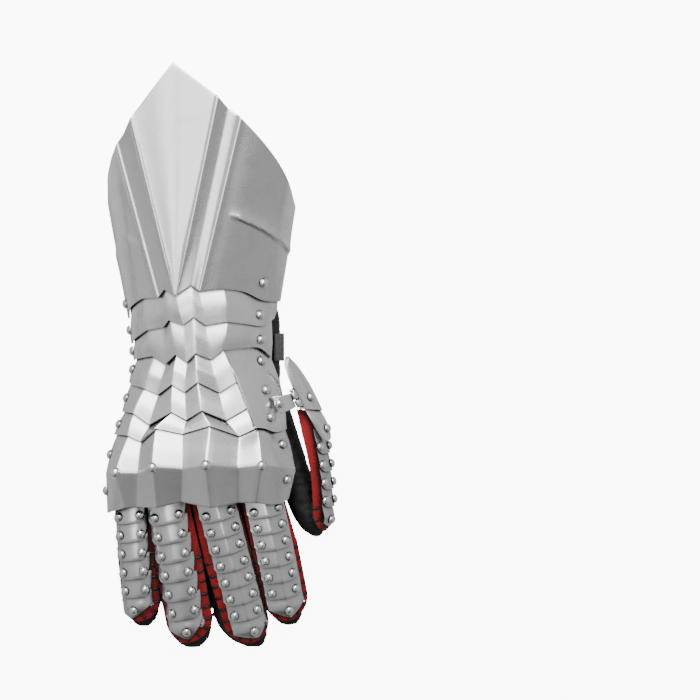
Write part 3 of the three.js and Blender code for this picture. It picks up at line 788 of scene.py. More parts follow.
class Rivets:
    """Models each kind of rivet once and sets copies of it on plates."""

    PLATE = RivetKind(3.2, 2.5)
    KNUCKLE = RivetKind(3.7, 2.9, 2.2)
    LAME = RivetKind(2.95, 2.2, 0.5)

    def __init__(self) -> None:
        """Keeps the finished heads by kind."""
        self.heads: dict[RivetKind, bpy.types.Object] = {}

    def head(self, kind: RivetKind) -> bpy.types.Object:
        """Models a head: a ball cut in half, pressed flat and drawn down to a foot.

        Args:
            kind: The rivet's kind.

        Returns:
            The head, modelled once.
        """
        if kind in self.heads:
            return self.heads[kind]
        Bench.clear()
        bpy.ops.mesh.primitive_uv_sphere_add(segments=18, ring_count=12, radius=kind.radius * MM)
        obj = bpy.context.object
        Bench.edit(obj)
        bpy.ops.mesh.bisect(plane_co=(0, 0, 0), plane_no=(0, 0, 1), clear_inner=True, use_fill=False)
        bpy.ops.mesh.select_all(action="SELECT")
        bpy.ops.transform.resize(value=(1, 1, kind.height / kind.radius))
        bpy.ops.mesh.select_all(action="DESELECT")
        Bench.done()
        for vertex in obj.data.vertices:
            vertex.select = abs(vertex.co.z) < RIM_SLACK
        bpy.ops.object.mode_set(mode="EDIT")
        bpy.ops.mesh.select_mode(type="EDGE")
        bpy.ops.mesh.extrude_region_move(TRANSFORM_OT_translate={"value": (0, 0, -kind.sink * MM)})
        bpy.ops.mesh.edge_face_add()
        Bench.done()
        obj.data.materials.append(RIVET_FINISH.material())
        Bench.smooth(obj, 50)
        obj.name = f"rivet_{kind.radius}"
        self.heads[kind] = obj
        return obj

    def set(self, kind: RivetKind, point: Vector, normal: Vector, turn: float = 0.0) -> bpy.types.Object:
        """Sets one rivet on a plate.

        Args:
            kind: The rivet's kind.
            point: Its place in millimetres.
            normal: The direction that it stands in.
            turn: How far it is turned about its own axis, in radians.

        Returns:
            The rivet.
        """
        spin = Quaternion(UP, turn).to_matrix().to_4x4()
        stand = UP.rotation_difference(normal).to_matrix().to_4x4()
        return Bench.copy(self.head(kind), Matrix.Translation(point * MM) @ stand @ spin, "rivet")

    def clean(self) -> None:
        """Throws the pattern heads away."""
        for obj in self.heads.values():
            bpy.data.objects.remove(obj)


@dataclass(frozen=True)
class Aim:
    """A line along which a rivet is driven: where it starts and where it points."""

    start: Triple
    along: Triple

    @staticmethod
    def above(x: float, y: float) -> "Aim":
        """Straight down at a place."""
        return Aim((x, y, FAR), (0.0, 0.0, -1.0))

    @staticmethod
    def beside(y: float, z: float) -> "Aim":
        """In from the little-finger side."""
        return Aim((-FAR, y, z), (1.0, 0.0, 0.0))

    def meets(self, grid: Grid) -> tuple[Vector, Vector]:
        """Finds where the line first meets a grid.

        Args:
            grid: The plate's outer face.

        Returns:
            The point and the outward normal there.

        Raises:
            ValueError: If the line passes the plate by.
        """
        origin, along = Vector(self.start), Vector(self.along)
        best: Optional[tuple[float, Vector, Vector]] = None
        for i in range(len(grid) - 1):
            for j in range(len(grid[0]) - 1):
                a, b, c, d = grid[i][j], grid[i][j + 1], grid[i + 1][j + 1], grid[i + 1][j]
                for p, q, r in ((a, b, c), (a, c, d)):
                    hit = intersect_ray_tri(p, q, r, along, origin, True)
                    if hit is None:
                        continue
                    far = (hit - origin).length
                    if best is None or far < best[0]:
                        normal = (q - p).cross(r - p).normalized()
                        if normal.dot(along) > 0:
                            normal.negate()
                        best = (far, hit, normal)
        if best is None:
            raise ValueError(f"no plate under the rivet at {self.start}")
        return best[1], best[2]


RIVETS = Rivets()


def riveted(name: str, plate: bpy.types.Object, grid: Grid, aims: Sequence[Aim], kind: RivetKind,
            finish: Finish) -> bpy.types.Object:
    """Drives rivets into a plate and joins them to it.

    Args:
        name: The finished piece's name.
        plate: The plate.
        grid: Its outer face.
        aims: One line for each rivet.
        kind: The rivets' kind.
        finish: The plate's finish.

    Returns:
        The plate with its rivets.
    """
    if not plate.data.materials:
        plate.data.materials.append(finish.material())
    Bench.smooth(plate)
    heads = []
    for k, aim in enumerate(aims):
        point, normal = aim.meets(grid)
        heads.append(RIVETS.set(kind, point, normal, k * RIVET_TURN))
    return Bench.join(name, plate, heads)


# ---- The form of the back of the hand ----
COLUMNS = ("edgeL", "sideL", "little", "valleyA", "ring", "valleyB", "middle", "valleyC", "index",
           "sideR", "flankR", "edgeR")
ROWS: dict[str, tuple[Pair, ...]] = {
    "cuff": ((-60, 24), (-59.5, 31), (-50.5, 37), (-40.5, 36.8), (-36.2, 42.6), (-28.9, 38.4), (-18.7, 45),
             (-13, 41), (3.5, 43), (16, 41.5), (28, 34.8), (39, 35)),
    "wrist1": ((-58, 7.5), (-56.8, 10), (-48, 16), (-37, 18), (-33.5, 22.7), (-24, 19.2), (-17, 24.6),
               (-9, 19), (5.5, 21.5), (18.5, 20), (28.5, 18.3), (35, 24)),
    "wrist2": ((-56.5, -3), (-55.6, -2.5), (-44, -0.5), (-35.5, -5.8), (-29, 0.4), (-21.8, -4.9), (-16, 1),
               (-5.5, -3), (2.2, 3.2), (14, 4.7), (26, 5.7), (33, -1.5)),
    "hand1": ((-59.5, -17), (-57.8, -18.8), (-50, -21), (-40.3, -25.4), (-31.5, -18.7), (-23.2, -23.9),
              (-14.7, -17.2), (-0.3, -24.1), (10.7, -17), (21, -17), (30, -17), (37.4, -17)),
    "hand2": ((-64, -36.4), (-62, -36.5), (-57, -37), (-46, -44.8), (-31.4, -36.5), (-22, -41.7),
              (-12, -35.5), (3.9, -42), (18.4, -33.6), (25, -34), (33, -34), (39.6, -34)),
    "hand3": ((-69, -51), (-66.5, -51.2), (-60.5, -51.6), (-51.6, -55.6), (-42.4, -47), (-24.7, -50.6),
              (-6.5, -45.3), (12.6, -52), (24.6, -46.2), (30, -46.6), (36.4, -50.5), (43.6, -48)),
    "fold": ((-74.4, -76), (-74.2, -76), (-68.7, -76), (-53, -76), (-44, -72), (-24.7, -73.3), (-9.3, -70.5),
             (11.5, -72.5), (27, -70.8), (35, -71), (42.5, -72), (48.8, -74)),
    "knuckle": ((-73.6, -102), (-72, -101.5), (-62.3, -98.8), (-53.8, -97.9), (-41.2, -98.5),
                (-25.3, -94.6), (-6.1, -98.6), (11.5, -95.2), (23, -95.3), (31, -96.4), (38, -96.3),
                (44.6, -92.7)),
}
ROW_NAMES = tuple(ROWS)
# Heights of a row: its crown, its two side edges, and how far ridges stand above valleys.
HEIGHTS: dict[str, tuple[float, float, float, float]] = {
    "cuff": (60, 13, 30, 0.2), "wrist1": (57, 13, 31.5, 0.8), "wrist2": (54.5, 13, 32, 1.3),
    "hand1": (53.5, 13, 33.5, 2.2), "hand2": (54.5, 13, 35, 2.8), "hand3": (56, 13, 36.5, 3.6),
    "fold": (61, 12, 38, 5), "knuckle": (49.5, 11, 33, 3.4),
}
# How far a column lies down from the crown to its side edge.
FALL = dict(zip(COLUMNS, (1, 0.46, 0.25, 0.15, 0.08, 0.03, 0, 0.03, 0.09, 0.32, 0.64, 1)))
VALLEYS = {"valleyA", "valleyB", "valleyC"}
LEFT_SIDE = {"edgeL", "sideL", "little", "valleyA", "ring"}
# How softly the steel turns at a column, in millimetres.
TURN = dict(zip(COLUMNS, (0, 9, 1.6, 1.3, 1.1, 1.2, 1.1, 1.2, 1.1, 8, 8, 0)))


def form(row: int, column: str) -> Vector:
    """A point of the form.

    Args:
        row: Its row's number.
        column: Its column's name.

    Returns:
        The point in millimetres.
    """
    name = ROW_NAMES[row]
    crown, left, right, ridge = HEIGHTS[name]
    x, y = ROWS[name][COLUMNS.index(column)]
    edge = left if column in LEFT_SIDE else right
    return Vector((x, y, crown - FALL[column] * (crown - edge) - (ridge if column in VALLEYS else 0)))


STEEL_WALL = 1.2
LAME_WALL = 1.0
TILE_GAP = 0.55
WRIST_GAP = 1.1


@dataclass(frozen=True)
class Crease:
    """A pressed step that runs across a plate, steep before its crest and fading out behind it.

    The fade says how soon it comes to its full height along its line.
    """

    line: tuple[Pair, ...]
    height: float
    rise: float
    tail: float
    fade: float = 4

    def lift(self, x: float, y: float) -> float:
        """How far the steel stands out at a place in plan.

        Args:
            x: The place's x in millimetres.
            y: Its y.

        Returns:
            The lift in millimetres.
        """
        best = (1e9, 0.0, 0.0)
        count = len(self.line) - 1
        here = Vector((x, y))
        for k in range(count):
            a, b = Vector(self.line[k]), Vector(self.line[k + 1])
            span = b - a
            t = min(1.0, max(0.0, (here - a).dot(span) / span.length_squared))
            gap = here - a.lerp(b, t)
            side = 1.0 if span.x * gap.y - span.y * gap.x > 0 else -1.0
            if gap.length < best[0]:
                best = (gap.length, side * gap.length, (k + t) / count)
        _, offset, share = best
        start = ease(share * self.fade)
        if offset < 0:
            return self.height * start * ease(1 + offset / self.rise)
        return self.height * start * math.exp(-offset / self.tail)


# ---- Cuff ----
@dataclass
class Cuff:
    """The flared cuff plate, one sheet with four pressed ridges, two flutes and a crease on each flank."""

    rows: int = 84
    bead: float = 1.15
    bead_width: float = 3.2
    bead_share: float = 0.3
    # The x in millimetres that parts the two creases.
    parting: float = -20
    reach_in: float = 17
    ridges: tuple[int, ...] = (3, 5, 7, 9)
    sharp: tuple[int, ...] = (4, 6, 8)
    # Each column: the form's column at its foot, its shift there, and its place on the upper edge.
    columns: tuple[tuple[str, float, Triple], ...] = (
        ("edgeL", 0, (-73.4, 98, 1)), ("sideL", 0, (-73.2, 116, 40)), ("little", 0, (-70.6, 127, 53)),
        ("valleyA", 0, (-67.2, 136, 61.5)), ("ring", 0, (-62.4, 143, 65.5)),
        ("valleyB", -0.7, (-57.8, 153.2, 73)), ("valleyB", 0, (-30.5, 189, 84)),
        ("valleyB", 0.7, (-0.8, 166.7, 81.5)), ("middle", 0, (5.4, 159.4, 76.4)),
        ("valleyC", 0, (13.7, 153.2, 78)), ("index", 0, (25.5, 141, 73.5)), ("sideR", 0, (36.7, 127, 64)),
        ("flankR", 0, (44.4, 113.4, 53)), ("edgeR", 0, (48.9, 96, 38)),
    )
    # How softly the sheet turns at each column.
    turns: tuple[float, ...] = (0, 12, 8, 1, 6, 1, 12, 1, 5, 1, 8, 10, 10, 0)
    creases: tuple[Crease, ...] = (
        Crease(((5, 91.5), (14.1, 88.4), (27.6, 81.8), (41, 72.7), (47, 64)), 1.5, 2.2, 3.6),
        Crease(((-62, 80), (-66, 72), (-67.5, 62)), 0.8, 2.2, 10),
    )

    def line(self, index: int, t: float) -> Vector:
        """A point of a column, from its foot (0) to the upper edge (1)."""
        low, shift, high = self.columns[index]
        return (form(0, low) + Vector((shift, 0, 0))).lerp(Vector(high), t)

    def cross(self, t: float) -> list[Vector]:
        """One row across the cuff, with a bead standing along each ridge.

        Args:
            t: The row's place, from the foot (0) to the upper edge (1).

        Returns:
            The row's points.
        """
        points = [self.line(k, t) for k in range(len(self.columns))]
        knots: list[Vector] = []
        soft: list[float] = []
        crisp: list[bool] = []
        for k, point in enumerate(points):
            if k not in self.ridges:
                knots.append(point)
                soft.append(self.turns[k])
                crisp.append(k in self.sharp)
                continue
            before, after = points[k - 1], points[k + 1]
            wide = min(self.bead_width, self.bead_share * (point - before).length,
                       self.bead_share * (after - point).length)
            strength = wide / self.bead_width
            knots += [point + (before - point).normalized() * wide, point + UP * self.bead * strength,
                      point + (after - point).normalized() * wide]
            soft += [wide * 0.45, wide * 0.5, wide * 0.45]
            crisp += [True, True, True]
        return rounded(knots, soft, 2, crisp)

    def build(self) -> bpy.types.Object:
        """Shapes the sheet and drives its rivets.

        Returns:
            The finished cuff.
        """
        grid = [self.cross(1 - i / self.rows) for i in range(self.rows + 1)]
        normals = normals_of(grid)
        for row, up in zip(grid, normals):
            for j, point in enumerate(row):
                crease = self.creases[0] if point.x > self.parting else self.creases[1]
                row[j] = point + up[j] * crease.lift(point.x, point.y)
        plate = Bench.plate("cuff", grid, STEEL_WALL, 0.3)
        aims = [Aim.above(28, 47), Aim.beside(33.5, 27)]
        return riveted("cuff_shell", plate, grid, aims, Rivets.PLATE, STEEL)

    def inside(self, column: str) -> Vector:
        """A point up inside the cuff towards which the first wrist lame reaches.

        Args:
            column: The column's name.

        Returns:
            The point.
        """
        index = next(k for k, c in enumerate(self.columns) if c[0] == column and c[1] == 0)
        return self.line(index, self.reach_in / (self.line(index, 1).y - self.line(index, 0).y))


# ---- Wrist and hand lames ----
@dataclass
class HandPlates:
    """The two wrist lames, the three lames over the back of the hand and the knuckle plate."""

    cuff: Cuff
    hidden: float = 0.42
    rise: float = 0.5
    wing_tuck: float = 1.9
    wing_dive: float = 1.65
    edge: float = 0.28
    # Points added along each straight, across and down.
    fine: Pair = (3, 5)
    # How much lower than the rest of its dive a wrist lame's hidden edge lies, clear of the plate above.
    tuck: float = 0.4
    wing: tuple[tuple[str, float, Triple, float], ...] = (
        ("index", 1.6, (23, -46.4, 54.6), 0), ("sideR", 0, (29, -46.8, 51.4), 0.5),
        ("flankR", 0, (36.2, -50, 44.8), 1), ("edgeR", 0, (43, -47.6, 37.6), 2.6),
    )

    def lame(self, row: int, names: Sequence[str], back: Callable[[str], Vector], dive: float) -> Grid:
        """The coarse grid of a lame between two rows of the form.

        Args:
            row: The row of its low edge.
            names: Its columns.
            back: Where it reaches back to under the plate before it.
            dive: How deep it dives there.

        Returns:
            Four rows of points.
        """
        def between(t: float) -> list[Vector]:
            """A row a share of the way down the shown part."""
            return [form(row - 1, n).lerp(form(row, n), t) for n in names]

        top = [form(row - 1, n).lerp(back(n), self.hidden) for n in names]
        return lifted([top, between(0), between(self.rise), between(1)], [-dive, -dive, 0, 0])

    def wrist(self, number: int) -> bpy.types.Object:
        """One wrist lame.

        Args:
            number: 1 for the lame by the cuff, 2 for the one by the hand.

        Returns:
            The finished lame.
        """
        back = self.cuff.inside if number == 1 else (lambda name: form(0, name))
        coarse = self.lame(number, COLUMNS, back, STEEL_WALL + WRIST_GAP)
        coarse[0] = [point - UP * self.tuck for point in coarse[0]]
        grid = refined(coarse, [TURN[n] for n in COLUMNS], [0, 2, 6, 0], self.fine)
        aims = {1: [Aim.above(25.8, 26.4), Aim.beside(16.5, 27)],
                2: [Aim.above(26.4, 10.4), Aim.beside(3, 27)]}[number]
        plate = Bench.plate(f"wrist_{number}", grid, STEEL_WALL, self.edge)
        return riveted(f"wrist_lame_shell_{number}", plate, grid, aims, Rivets.PLATE, STEEL)

    def first(self) -> bpy.types.Object:
        """The first hand lame, with the wing that covers the thumb side of the other two.

        Returns:
            The finished lame.
        """
        dive = STEEL_WALL + WRIST_GAP
        names = COLUMNS[:9]
        main = self.lame(3, names, lambda name: form(1, name), dive)
        middle = [p.lerp(q, 0.5) for p, q in zip(main[2], main[3])]
        coarse = [main[0], main[1], main[2], middle, main[3]]
        for top, lead, low, bow in self.wing:
            start = form(2, top) + Vector((lead, 0, 0))
            sunk = Vector((0, 0, dive * self.wing_dive))
            path = [start.lerp(form(1, top), self.hidden) - sunk]
            for t in (0, 0.35, 0.7, 1):
                side = 4 * t * (1 - t) * bow
                path.append(start.lerp(Vector(low), t) + Vector((side, 0, side)))
            path[1] = path[1] - sunk
            for row, point in zip(coarse, path):
                row.append(point)
        soft = [TURN[n] for n in names] + [1.0, 5, 7, 0]
        grid = refined(coarse, soft, [0, 2, 5, 6, 0], self.fine)
        aims = [Aim.above(26.6, -3.4), Aim.above(29.8, -22.2), Aim.above(33, -39.9), Aim.beside(-9, 27)]
        plate = Bench.plate("hand_1", grid, STEEL_WALL, self.edge)
        return riveted("metacarpal_shell_1", plate, grid, aims, Rivets.PLATE, STEEL)

    def later(self, number: int) -> bpy.types.Object:
        """The second or third hand lame.

        Args:
            number: 2 or 3.

        Returns:
            The finished lame.
        """
        row = number + 2
        names = COLUMNS[:9]
        coarse = self.lame(row, names, lambda name: form(row - 2, name), STEEL_WALL + TILE_GAP)
        depths = (0, 0, 1, 1) if number == 2 else (1, 1, 1, 1)
        for line, depth in zip(coarse, depths):
            line[-1].z -= depth * self.wing_tuck
        grid = refined(coarse, [TURN[n] for n in names], [0, 2, 5, 0], self.fine)
        aims = [Aim.beside(-27.5 if number == 2 else -44.6, 27)]
        plate = Bench.plate(f"hand_{number}", grid, STEEL_WALL, self.edge)
        return riveted(f"metacarpal_shell_{number}", plate, grid, aims, Rivets.PLATE, STEEL)

    def knuckles(self) -> bpy.types.Object:
        """The knuckle plate, peaked over each knuckle and folded down to the fingers.

        Returns:
            The finished plate.
        """
        dive = STEEL_WALL + TILE_GAP

        def cross(first: int, second: int, t: float) -> list[Vector]:
            """A row between two rows of the form."""
            return [form(first, n).lerp(form(second, n), t) for n in COLUMNS]

        coarse = lifted([cross(5, 4, 0.4), cross(5, 6, 0), cross(5, 6, 0.4), cross(5, 6, 1),
                         cross(6, 7, 0.5), cross(6, 7, 1)], [-dive, -dive, 0, 0, 0, 0])
        for line in coarse[:2]:
            line[COLUMNS.index("index")].z -= self.wing_tuck
        grid = refined(coarse, [TURN[n] for n in COLUMNS], [0, 2, 4, 1.4, 6, 0], self.fine)
        plate = Bench.plate("knuckles", grid, STEEL_WALL, self.edge)
        sides = [Aim.beside(-64, 30), Aim.beside(-87.5, 28), Aim.above(40.4, -57.4), Aim.above(43.4, -80.4)]
        tops = [Aim.above(-68, -75.4), Aim.above(-44, -72.3), Aim.above(-9.3, -70.8), Aim.above(27, -71.2)]
        plate = riveted("knuckles", plate, grid, sides, Rivets.PLATE, STEEL)
        return riveted("knuckle_shell", plate, grid, tops, Rivets.KNUCKLE, STEEL)

    def build(self) -> None:
        """Makes the six plates and dresses them."""
        dress(self.wrist(1), STEEL, "wrist_1", ["wrist_lame_1"])
        dress(self.wrist(2), STEEL, "wrist_2", ["wrist_lame_2"])
        dress(self.first(), STEEL, "hand", ["metacarpal_lame_1"])
        for number in (2, 3):
            dress(self.later(number), STEEL, "hand", [f"metacarpal_lame_{number}"])
        dress(self.knuckles(), STEEL, "hand", ["knuckle_plate"])


# ---- Fingers ----
# The share of a lame's half width at which the round of its crest ends.
CREST = 0.09


@dataclass(frozen=True)
class TipShape:
    """The low edge of a finger's last lame: its point's place, and how far and how sharply it is cut."""

    apex: float
    left: float
    right: float
    power: float = 1.2


@dataclass
class Finger:
    """A finger's or the thumb's run of lames, its red leather backing and the stitches round it."""

    name: str
    lames: int
    base: Triple
    tip: Triple
    width: Pair
    roll: float
    ridge: float
    arch: float
    rim: Pair
    point_shape: TipShape
    first_number: int = 1
    backing_start: float = -1
    stitch_from: float = 0.38
    wall: float = LAME_WALL
    corner: float = 3.4
    tip_length: float = 14
    tip_flat: float = 0.45
    tip_droop: float = 2.0
    edge: float = 0.2
    rivets_at: float = 0.66
    drive_from: float = 50
    first_short: float = 0.4
    # The red leather's round end, as a share of the lames' width at the tip.
    round_end: float = 0.62
    # How far the red leather lies under the lowest lame, and how near its rows come to its very end.
    under: float = 0.9
    end_short: float = 0.02
    lame_hidden: float = 4.2
    dive: float = 1.85
    hump: float = 2.2
    flatness: float = 2.8
    left_edge: float = -1
    steps: Pair = (0.3, 0.3)
    # How far the red leather shows past the rim at the finger's root and tip, for each side.
    show: tuple[Pair, Pair] = ((0, 0), (0, 0))
    # How much wider the glove is than the lames at its root and tip, for each side.
    glove: tuple[Pair, Pair] = ((0, 0), (0, 0))
    red_over: float = 2.6
    leather: float = 1.6
    stitch_pitch: float = 8.2
    cord: float = 0.55
    # A stitch: its thread's radius, its loop's radius, how far in from the edge it stands, and its lean.
    thread: float = 0.55
    loop: float = 1.7
    loop_in: float = 2.2
    lean: float = 0.22
    across: tuple[float, ...] = (-1, -0.93, -0.84, -0.72, -0.6, -0.45, -0.3, -0.15, -0.06, 0, 0.06, 0.15, 0.3,
                                 0.45, 0.6, 0.72, 0.84, 0.93, 1)
    start: Vector = field(init=False)
    axis: Vector = field(init=False)
    side: Vector = field(init=False)
    up: Vector = field(init=False)
    length: float = field(init=False)

    def __post_init__(self) -> None:
        """Works out the finger's own directions."""
        self.start = Vector(self.base)
        run = Vector(self.tip) - self.start
        self.length = run.length
        self.axis = run.normalized()
        self.side = Vector((-self.axis.y, self.axis.x, 0)).normalized()
        self.up = -self.side.cross(self.axis).normalized()
        if self.up.z < 0:
            self.up.negate()
        turn = Quaternion((0, 1, 0), -math.radians(self.roll))
        self.side = turn @ self.side
        self.up = turn @ self.up

    def half(self, d: float) -> float:
        """Half the lames' width a distance from the base."""
        return (self.width[0] + (self.width[1] - self.width[0]) * (d / self.length)) / 2

    def place(self, side: float, d: float, height: float) -> Vector:
        """A place beside and above the crown line."""
        droop = self.hump * (2 * d / self.length - 1) ** 2
        return self.start + self.axis * d + self.side * side + self.up * (height - droop)

    def point(self, s: float, d: float, off: float = 0) -> Vector:
        """A point of the finger's form, or off it.

        Args:
            s: The share of the half width, from -1 to 1.
            d: The distance from the base.
            off: The height off the form.

        Returns:
            The point in millimetres.
        """
        inside = min(1.0, abs(s))
        bow = inside ** self.flatness
        drop = self.arch * (bow * (1 - self.ridge) + self.soft(inside) * self.ridge + abs(s) - inside)
        return self.place(s * self.half(d), d, off - drop)

    @staticmethod
    def soft(share: float) -> float:
        """A fold along the middle with a small round at its crest."""
        return share if share > CREST else (share * share / CREST + CREST) / 2

    def columns(self) -> list[float]:
        """The shares of the half width at which a lame has points."""
        return [s * abs(self.left_edge) if s < 0 else s for s in self.across]

    def corner_cut(self, s: float, d: float) -> float:
        """How far a lame's low edge is cut back near its round corners.

        Args:
            s: The share of the half width.
            d: The distance from the base.

        Returns:
            The cut in millimetres.
        """
        inside = ((s - self.left_edge) if s < 0 else (1 - s)) * self.half(d)
        past = max(0.0, 1 - inside / self.corner)
        return self.corner * (1 - math.sqrt(max(0.0, 1 - past * past)))

    def stepped(self, s: float, t: float) -> Vector:
        """How far a lame's side stands out, so that each lame's edge steps past the next one's."""
        out = self.steps[1] * (1 - 2 * t) if s > 0 else -self.steps[0] * (2 * t - 1)
        return self.side * (out * abs(s) ** 3)

    def lame_grid(self, top: float, begin: float, end: float) -> Grid:
        """The outer face of one lame.

        Args:
            top: Where its hidden edge is, from the base.
            begin: Where its shown part begins.
            end: Where it ends.

        Returns:
            Rows of points.
        """
        stations = [(top, -self.dive, 0.0, 0.0), (begin, -self.dive, 0.0, 0.0)]
        stations += [(begin + (end - begin) * t, -self.dive * (1 - t), max(0.0, 2 * t - 1), t)
                     for t in (0.2, 0.4, 0.6, 0.8, 1)]
        return [[self.point(s, d - self.corner_cut(s, d) * share, off) + self.stepped(s, t)
                 for s in self.columns()] for d, off, share, t in stations]

    def tip_edge(self, s: float) -> float:
        """How far the last lame's low edge is cut back.

        Args:
            s: The share of the half width.

        Returns:
            The cut in millimetres.
        """
        shape = self.point_shape
        reach = (1 + shape.apex) if s < shape.apex else (1 - shape.apex)
        depth = shape.left if s < shape.apex else shape.right
        return depth * (abs(s - shape.apex) / reach) ** shape.power

    def tip_grid(self, top: float, begin: float, end: float) -> Grid:
        """The outer face of the last lame, drawn to a point and turned down at its end.

        Args:
            top: Where its hidden edge is, from the base.
            begin: Where its shown part begins.
            end: Where its point is.

        Returns:
            Rows of points.
        """
        stations = [(top, -self.dive), (begin, -self.dive)]
        stations += [(begin + (end - begin) * self.tip_flat * t, -self.dive * (1 - t)) for t in (0.5, 1)]
        rows = [[self.point(s, d, off) for s in self.columns()] for d, off in stations]
        flat = begin + (end - begin) * self.tip_flat
        for t in (0.25, 0.5, 0.75, 0.9, 1):
            row = []
            for s in self.columns():
                reach = end - self.tip_edge(s) - flat
                d = flat + reach * t
                row.append(self.point(s, d, -self.tip_droop * ease((d - flat) / (end - flat)) ** 1.5))
            rows.append(row)
        return rows

    def lame(self, k: int) -> bpy.types.Object:
        """One lame with its rivets.

        Args:
            k: Its place in the run, from 0 at the knuckle.

        Returns:
            The finished lame.
        """
        pitch = (self.length - self.tip_length) / (self.lames - 1)
        last = k == self.lames - 1
        begin = k * pitch
        end = self.length if last else begin + pitch
        top = begin - self.lame_hidden + (self.first_short if k == 0 else 0)
        grid = self.tip_grid(top, begin, end) if last else self.lame_grid(top, begin, end)
        shares = [self.point_shape.apex * 0.5] if last else [self.rivets_at * self.left_edge, self.rivets_at]
        along = begin + (end - begin) * 0.6 if last else end - pitch * 0.38
        targets = [self.point(s, along) for s in shares]
        aims = [Aim(tuple(target + self.up * self.drive_from), tuple(-self.up)) for target in targets]
        plate = Bench.plate(f"{self.name}_{k}", grid, self.wall, self.edge, self.up)
        number = k + self.first_number
        return riveted(f"{self.name}_scale_{number}", plate, grid, aims, Rivets.LAME, SHADED_LAME_FINISH)

    def rim_share(self, side: float, d: float, spread: float) -> float:
        """The share of the half width at which the red leather ends.

        Args:
            side: Below 0 on the little-finger side.
            d: The distance from the base.
            spread: How much of the rim shows there, up to 1.

        Returns:
            The share, 1 or more where it shows.
        """
        place = 0 if side < 0 else 1
        root, tip = self.show[place]
        extra = root + (tip - root) * min(1.0, max(0.0, d / self.length))
        return 1 + (spread * self.rim[place] + extra) / self.half(d)

    def backing_point(self, s: float, d: float, off: float) -> Vector:
        """A point of the red leather.

        Args:
            s: The place across it, from -1 to 1.
            d: The distance from the base.
            off: The height off the lames' form.

        Returns:
            The point in millimetres.
        """
        end = self.length + self.red_over
        left = (end - d) / (self.width[1] * self.round_end)
        scale = 1.0 if left >= 1 else math.sqrt(max(0.0, 1 - (1 - left) ** 2))
        spread = min(1.0, 0.25 + 2 * max(0.0, d) / end)
        wide = self.rim_share(s, d, spread)
        return self.point(s * wide * scale, d, off)

    def backing(self) -> bpy.types.Object:
        """The red leather under the lames, round at its end and a little wavy along its sides.

        Returns:
            The leather.
        """
        end = self.length + self.red_over
        depth = 2 * self.dive + self.under
        begin = self.backing_start
        rows, half_columns = 44, 12
        grid = []
        for i in range(rows + 1):
            d = begin + (end - begin) * math.sin(i / rows * math.pi / 2)
            d = min(d, end - self.end_short)
            wave = 0.12 * math.sin(d * 0.9 + self.base[0])
            shares = [-1 + k / half_columns for k in range(2 * half_columns + 1)]
            grid.append([self.backing_point(s, d, -depth + wave * abs(s)) for s in shares])
        return Bench.plate(f"{self.name}_leather", grid, self.leather, 0.45, self.up)

    def rim_path(self, inwards: float = 0.0) -> list[Vector]:
        """The red leather's edge, from the thumb side round the tip to the other side, at half its thickness.

        Args:
            inwards: How far in from the edge the path runs, in millimetres.

        Returns:
            The path.
        """
        end = self.length + self.red_over
        depth = 2 * self.dive + self.under + self.leather / 2
        path = []
        steps = 160
        for k in range(steps + 1):
            angle = math.pi * k / steps
            s = math.cos(angle)
            side = 1.0 if s >= 0 else -1.0
            along = math.sin(angle)
            start = end * self.stitch_from
            d = start + (end - self.end_short - start) * along ** 0.8
            edge = self.backing_point(side, d, -depth)
            if inwards:
                turned = min(1.0, max(0.0, 1 - (end - d) / (self.width[1] * self.round_end)))
                square = math.sqrt(1 - turned * turned)
                share = (edge - self.place(0, d, 0)).dot(self.side) / self.half(d)
                share -= side * inwards * square / self.half(d)
                edge = self.point(share, d - inwards * turned, -depth)
            path.append(edge)
        return path

    def stitches(self) -> bpy.types.Object:
        """Makes the loops of thread over the red leather's edge and the cord along it.

        Returns:
            The loops and the cord as one piece.
        """
        path = self.rim_path()
        inner = self.rim_path(2.6)
        Bench.clear()
        bpy.ops.mesh.primitive_torus_add(major_segments=14, minor_segments=7, major_radius=self.loop * MM,
                                         minor_radius=self.thread * MM)
        loop = bpy.context.object
        Bench.edit(loop)
        bpy.ops.transform.resize(value=(1.25, 0.78, 1.25))
        Bench.done()
        loop.data.materials.append(THREAD.material())
        Bench.smooth(loop, 60)
        copies = []
        run = 0.0
        due = self.stitch_pitch * 0.5
        for k in range(1, len(path)):
            step = (path[k] - path[k - 1]).length
            run += step
            if run < due or step < TINY:
                continue
            due += self.stitch_pitch
            along = (path[k] - path[k - 1]).normalized()
            out = (path[k] - inner[k]).normalized()
            lean = Quaternion(self.up, self.lean * math.sin(k * 1.7))
            out, along = lean @ out, lean @ along
            rise = along.cross(out).normalized()
            along = out.cross(rise)
            turn = Matrix((out, rise, along)).transposed().to_4x4()
            seat = Matrix.Translation((path[k] - out * self.loop_in) * MM)
            copies.append(Bench.copy(loop, seat @ turn, "stitch"))
        bpy.data.objects.remove(loop)
        return Bench.join(f"{self.name}_stitches", self.edging(path), copies)

    def edging(self, path: Sequence[Vector]) -> bpy.types.Object:
        """A waxed cord laid along the red leather's edge.

        Args:
            path: The cord's middle line.

        Returns:
            The cord.
        """
        rings = []
        for k in range(0, len(path), 2):
            along = (path[min(k + 1, len(path) - 1)] - path[max(k - 1, 0)]).normalized()
            out = along.cross(self.up).normalized()
            rise = along.cross(out)
            turns = [2 * math.pi * j / 8 for j in range(9)]
            rings.append([path[k] + (out * math.cos(a) + rise * math.sin(a)) * self.cord for a in turns])
        obj = Bench.sheet("edging", rings)
        Bench.cap(obj)
        obj.data.materials.append(THREAD.material())
        Bench.smooth(obj, 60)
        return obj

